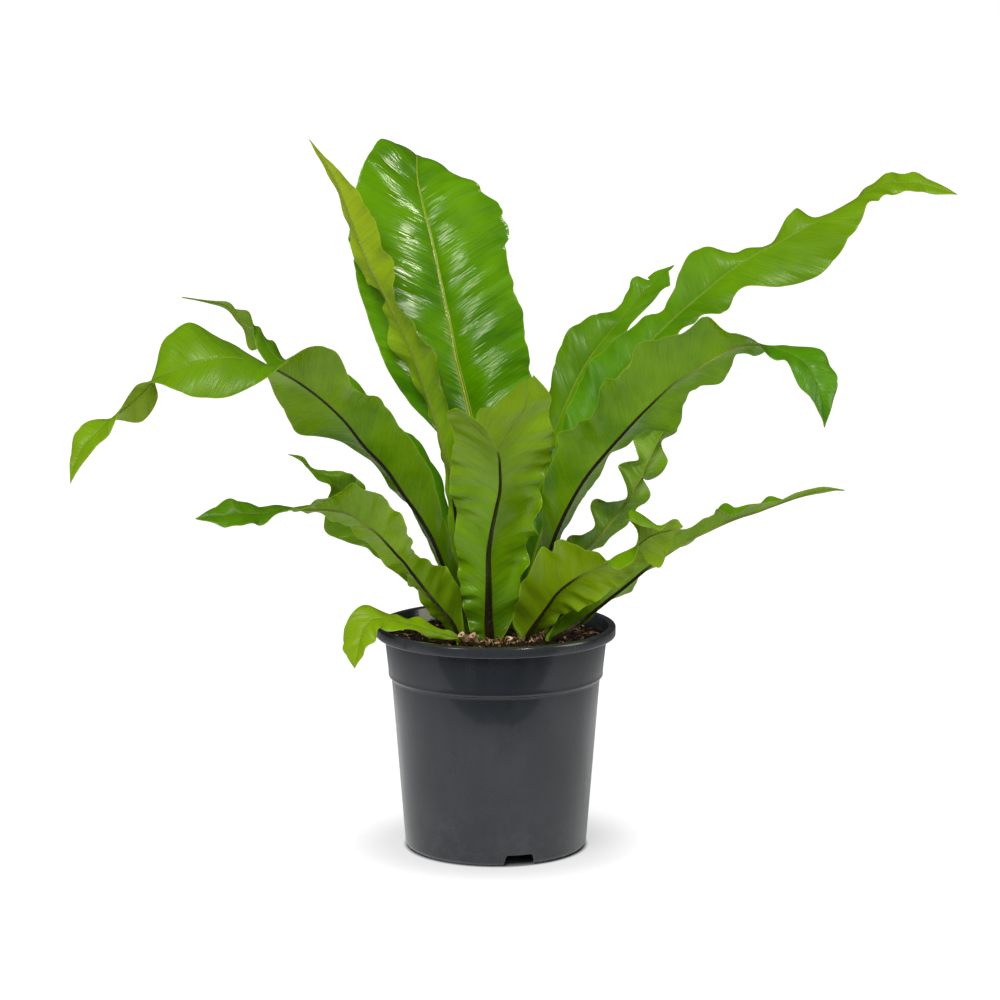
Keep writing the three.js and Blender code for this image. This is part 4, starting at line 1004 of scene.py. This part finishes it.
blade("right_long", [
    [20, 16, 155, 3, -3, 0, -3, 3, 0], [20, 20, 173, 5, -3, -1, -6, 3, 3],
    [27, 25, 201, 8, -5, 0, -7, 5, 5], [36, 31, 229, 9, -8, -1, -8, 8, 8],
    [46, 37, 256, 10, -10, -4, -9, 9, 9], [58, 44, 281, 13, -12, -5, -11, 9, 11],
    [72, 51, 305, 12, -13, -5, -16, 9, 10], [86, 58, 325, 14, -14, -5, -18, 9, 13],
    [102, 65, 343, 13, -14, -3, -15, 9, 11], [118, 72, 359, 11, -14, -2, -12, 9, 9],
    [135, 79, 374, 10, -14, -4, -11, 9, 3], [152, 85, 388, 12, -15, -13, -19, 9, 12],
    [169, 91, 401, 10, -15, -10, -24, 9, 16], [187, 97, 412, 19, -15, -20, -15, 9, 2],
    [205, 103, 421, 26, -15, -24, -5, 9, -1], [223, 109, 430, 26, -14, -15, -7, 9, 12],
    [241, 115, 439, 20, -13, -7, -4, 9, -2], [259, 121, 449, 14, -11, 1, -3, 9, -4],
    [276, 127, 458, 8, -9, -5, -4, 8, 0], [287, 131, 462, 5, -8, -7, -1, 7, 7],
    [296, 134, 461, 3, -8, -5, -1, 7, 4], [308, 138, 461, 1, -7, -5, -2, 6, 8],
    [323, 142, 457, 0, -4, -4, -1, 4, 5], [340, 146, 452],
], green, seed=10, rib=1.6, dark=0.0, fresh_and_lit=(0.0, 0.6),
    trims=((1, 399, 7, 5), (1, 378, 8, -2.5), (1, 455, 8, -3), (-1, 252, 6, 2.5), (-1, 464, 10, -2.5)))
# right_inner's fresh green at its base, young (0.3, 0.1), is partly a painted highlight on its upper face
blade("right_inner", [
    [12, 22, 155, 3, -2, 0, -3, 2, 0], [10, 28, 173, 6, -3, -1, -6, 3, 3],
    [15, 38, 200, 9, -5, 0, -8, 5, 5], [22, 50, 227, 10, -6, 1, -10, 6, 7],
    [30, 62, 255, 12, -6, 0, -11, 6, 7], [40, 73, 281, 13, -6, -4, -9, 6, 9],
    [50, 83, 304, 14, -6, -4, -11, 6, 12], [60, 92, 324, 15, -6, -4, -16, 6, 14],
    [71, 100, 341, 14, -6, -3, -18, 6, 15], [82, 106, 354, 12, -6, -1, -13, 6, 12],
    [93, 111, 366, 10, -6, 1, -9, 6, 3], [102, 115, 376, 12, -6, 2, -6, 6, 5],
    [110, 119, 384, 13, -6, 1, -10, 6, 8], [117, 123, 391, 10, -6, 0, -7, 6, 3],
    [124, 127, 396, 3, -3, 2, -3, 3, 2], [131, 131, 402],
], green, seed=11, rib=1.4, dark=0.0, fresh_and_lit=(0.3, 0.1), trims=((1, 283, 2.6, 6), (1, 262, 6, -2)))
blade("curly", [
    [38, 6, 153, -3, -2, 0, 3, 2, 0], [43, 8, 176, -5, -3, 3, 5, 3, -3],
    [52, 11, 195, -7, -5, 7, 6, 5, -4], [61, 14, 208, -10, -7, 12, 6, 7, -1],
    [68, 16, 215, -6, -8, 8, 8, 8, -3], [75, 18, 222, -5, -9, 8, 8, 8, -4],
    [80, 20, 227, -13, -10, 15, 9, 9, -5], [83, 22, 231, -12, -10, 17, 11, 9, -5],
    [88, 24, 236, -8, -10, 9, 8, 9, -5], [92, 26, 242, -2, -9, 4, 9, 9, -5],
    [96, 28, 246, -3, -9, 3, 12, 9, -5], [98, 30, 252, -6, -9, 4, 12, 9, -4],
    [101, 32, 257, -11, -9, 6, 4, 9, 2], [104, 34, 261, -16, -9, 8, 5, 9, -5],
    [106, 37, 266, -13, -9, 6, 12, 9, -6], [109, 40, 271, -7, -9, 2, 14, 9, -3],
    [112, 43, 277, -11, -9, 3, 8, 9, -1], [115, 46, 283, -16, -9, 5, 5, 9, 0],
    [120, 50, 291, -11, -7, 3, 10, 7, -1], [128, 54, 305],
], green, seed=13, rib=1.1, dark=0.35, fresh_and_lit=(0.0, 0.1), ruffle=(24, 1.4))


# The two low fronds at the right front are leaves that grow from the crown's edge, close to the
# soil. The nearer one is broad and rolls up at its edge.
blade("right_low", [
    [39, -17, 154, -3, -3, 0, 3, 3, 0], [50, -16, 159, -8, -3, 4, 2, 3, -2],
    [63, -17, 168, -12, -6, 8, 3, 6, -2], [77, -20, 180, -12, -7, 8, 4, 8, -2],
    [92, -24, 193, -12, -7, 11, 4, 10, -3], [106, -29, 206, -10, -7, 12, 4, 11, -2],
    [121, -34, 218, -7, -7, 12, 4, 11, -1], [135, -39, 228, 0, -7, 11, 3, 10, -2],
    [147, -44, 235, -2, -7, 9, 2, 10, 4], [158, -48, 241, -4, -7, 7, 0, 11, 12],
    [169, -51, 246, -2, -7, 4, 0, 11, 4], [180, -54, 250, -1, -7, 5, 1, 10, 4],
    [189, -57, 254, -1, -7, 4, -1, 9, 6], [201, -60, 259, -1, -6, 3, 0, 7, -2],
    [215, -62, 264, 0, -4, 4, 1, 5, -2], [228, -64, 267, 0, -3, 2, 0, 3, -2],
    [240, -66, 267],
], green, seed=14, rib=0.9, dark=0.4, fresh_and_lit=(0.1, 0.3),
    trims=((-1, 154, 7, -6), (-1, 172, 8, -4), (1, 49, 8, 5), (1, 63, 6, -3), (1, 79, 9, 3.3),
           (1, 98, 7, 2.4)))
# right_curl's fresh green, young (0.4, 0.35), is painted light that brightens a frond facing down, away from
# the light
blade("right_curl", [
    [21, -18, 155, -4, -3, 0, 4, 3, 0], [26, -21, 162, -14, -2, 4, 8, 3, -3],
    [35, -28, 176, -20, -5, 8, 10, 4, -6], [43, -36, 189, -23, -8, 11, 13, 4, -13],
    [54, -45, 200, -22, -10, 25, 14, 4, -17], [65, -53, 208, -17, -10, 23, 14, 4, -15],
    [75, -60, 214, -4, -12, 9, 16, 4, -10], [83, -65, 221, 0, -9, -8, 16, 4, -9],
    [92, -69, 226, 2, -9, -7, 11, 4, -9], [99, -73, 231, -2, -10, 10, 5, 4, -13],
    [105, -76, 236, -14, -8, 23, 8, 4, -21], [113, -79, 240, -4, -8, 7, 5, 4, -14],
    [120, -82, 242, 1, -5, 9, 1, 4, -5], [128, -85, 245],
], green, seed=15, rib=1.2, dark=0.45, fresh_and_lit=(0.4, 0.35), ruffle=(20, 2.6), frill=(12, 1.9, 2.2),
    trims=((-1, 67, 6, 7), (-1, 80, 5, 3)), rolls=((-1, 137, 18, 2.9),))


# The two fronds at the rear grow behind the others, which hide them from the front. They are
# plain leaves that arch away from the crown.
blade("rear", [
    [-2, 34, 155, 4, 0, 0, -4, 0, 0], [-9, 44, 176, 6, -3, 1, -7, -3, 1],
    [-16, 62, 206, 10, -6, 1, -10, -6, 1], [-20, 84, 239, 13, -9, 1, -13, -9, 1],
    [-24, 107, 270, 17, -11, 1, -16, -11, 1], [-28, 130, 297, 20, -12, 2, -20, -12, 1],
    [-31, 153, 320, 20, -12, 1, -21, -12, 1], [-34, 176, 335, 17, -10, 0, -17, -10, 0],
    [-35, 198, 340, 10, -6, 0, -9, -6, 0], [-35, 222, 334],
], green, seed=21, rib=1.6)
blade("rear_right", [
    [14, 36, 155, 3, -3, 0, -3, 3, 0], [15, 44, 174, 5, -3, 0, -5, 3, 2],
    [22, 58, 203, 8, -5, -3, -7, 5, 3], [33, 74, 232, 10, -7, -4, -10, 7, 6],
    [48, 91, 262, 12, -9, -6, -11, 9, 7], [65, 108, 287, 12, -10, -7, -11, 10, 7],
    [82, 124, 305, 11, -10, -6, -9, 10, 7], [99, 139, 318, 8, -7, -5, -7, 7, 5],
    [117, 154, 327],
], green, seed=22, rib=1.6)


# The studio isn't part of the plant: a wide floor that fades into a white sky, with a painted contact shadow
# round the pot, a broad soft light with three soft boxes, and dark cards for the pot to mirror. The camera
# stands 2.5 m away, a little above the plant's top, and looks slightly down.
FLOOR_REACH = 18000
FLOOR_DROP = 0.05
# A painted contact shadow: where the floor's glow fades out towards the pot, as from and to in metres from
# the pot's axis, and how much it glows beyond
PAINTED_FLOOR_SHADOW = ((0.0625, 0.067, 0.6), (0.064, 0.13, 0.32))
SKY_GLOW = 0.37
SKY_MIRRORED = 0.04
FRONT_CARD = ((-660, -720), (660, -720), (660, -300), (420, -280), (200, -340), (0, -367),
              (-200, -340), (-420, -280), (-660, -300))
FRONT_CARD_HEIGHT = 4
SIDE_CARD = ((60, 0), (230, 0), (230, 330), (60, 330))
SIDE_CARD_AWAY = 700
KEY_STRENGTH = 3.2
KEY_SPREAD = 40
SOFTBOXES = (("softbox_high", 15, (0.9, -1.27, 2.0), 0.36, 0.3),
             ("softbox_left", 9, (-1.2, -1.35, 1.3), 0.34, 0.8),
             ("softbox_right", 14, (1.6, -0.3, 0.8), 0.7, 1.5))
WARM_WHITE = (1.0, 0.98, 0.78)
SENSOR = 36
LENS = 129.56
CAMERA_PLACE = (0.003, -2.5, 0.669)
CAMERA_AIM = (0.003, 0, 0.249)


def grey(level):
    """A grey that gives back so much of the light, from 0 to 1."""
    return (level, level, level, 1)


def lamp(name, kind, strength, place, aim, **settings):
    """A light at a place in metres, turned to what it aims at."""
    light = bpy.data.lights.new(name, kind)
    light.energy = strength
    for key, value in settings.items():
        setattr(light, key, value)
    thing = bpy.data.objects.new(name, light)
    thing.location = place
    thing.rotation_euler = (Vector(aim) - Vector(place)).to_track_quat("-Z", "Y").to_euler()
    bpy.context.scene.collection.objects.link(thing)
    return thing


white, tree, shader = finish("studio_floor", Roughness=0.9, Specular_IOR_Level=0.0,
                             Emission_Color=grey(1))
ray = node(tree, "ShaderNodeLightPath").outputs
place = node(tree, "ShaderNodeTexCoord").outputs["Object"]
away = node(tree, "ShaderNodeVectorMath", {0: place}, operation="LENGTH").outputs["Value"]
mirrored = blend(tree, rise(tree, away, 0.35, 0.75), grey(0.75), grey(0.13))
seen_white = blend(tree, ray["Is Glossy Ray"], grey(0.93), mirrored)
# As the camera sees it, the floor gives back only a fifth of the real light and glows white instead
seen_white = blend(tree, ray["Is Camera Ray"], seen_white, grey(0.2))
tree.links.new(seen_white, shader.inputs["Base Color"])
# Painted contact shadow: the glow fades out towards the pot's foot and is gone under the pot
painted_shadow_fades = [rise(tree, away, near, far, 0.0, gain) for near, far, gain in PAINTED_FLOOR_SHADOW]
lift = sums(tree, "MULTIPLY", ray["Is Camera Ray"], sums(tree, "ADD", *painted_shadow_fades))
tree.links.new(lift, shader.inputs["Emission Strength"])
corners = [(x * FLOOR_REACH, y * FLOOR_REACH, -FLOOR_DROP) for x, y in ((-1, -1), (1, -1), (1, 1), (-1, 1))]
made("floor", corners, [(0, 1, 2, 3)], [white])

world = bpy.data.worlds.new("studio")
bpy.context.scene.world = world
world.use_nodes = True
sky = world.node_tree
ray = node(sky, "ShaderNodeLightPath").outputs
glow = sky.nodes["Background"]
glow.inputs["Color"].default_value = grey(1)
glow.inputs["Strength"].default_value = SKY_GLOW
dim = node(sky, "ShaderNodeBackground", {"Color": grey(1), "Strength": SKY_MIRRORED})
seen = node(sky, "ShaderNodeBackground", {"Color": grey(1), "Strength": 1.0})
shares = {0: ray["Is Glossy Ray"], 1: glow.outputs[0], 2: dim.outputs[0]}
lit = node(sky, "ShaderNodeMixShader", shares)
shares = {0: ray["Is Camera Ray"], 1: lit.outputs[0], 2: seen.outputs[0]}
both = node(sky, "ShaderNodeMixShader", shares)
sky.links.new(both.outputs[0], sky.nodes["World Output"].inputs[0])

black = [finish("dark_card", Base_Color=grey(0.01))[0]]
cards = [[(x, y, FRONT_CARD_HEIGHT) for x, y in FRONT_CARD]]
cards += [[(side * SIDE_CARD_AWAY, y, z) for y, z in SIDE_CARD] for side in (-1, 1)]
for points in cards:
    card = made("dark_card", points, [tuple(range(len(points)))], black)
    card.visible_camera = card.visible_diffuse = card.visible_shadow = card.visible_transmission = False

key = lamp("key", "SUN", KEY_STRENGTH, (-0.6, -1.9, 2.6), (0, 0, 0.2), angle=math.radians(KEY_SPREAD))
key.visible_glossy = False
for name, strength, place, wide, high in SOFTBOXES:
    box = lamp(name, "AREA", strength, place, (0, 0.1, 0.35), shape="RECTANGLE",
               size=wide, size_y=high, color=WARM_WHITE)
    box.visible_diffuse = False

camera = bpy.data.cameras.new("camera")
camera.sensor_width = SENSOR
camera.lens = LENS
viewer = bpy.data.objects.new("camera", camera)
viewer.location = CAMERA_PLACE
viewer.rotation_euler = (Vector(CAMERA_AIM) - viewer.location).to_track_quat("-Z", "Y").to_euler()
bpy.context.scene.collection.objects.link(viewer)
bpy.context.scene.camera = viewer
bpy.context.scene.view_settings.view_transform = "Standard"
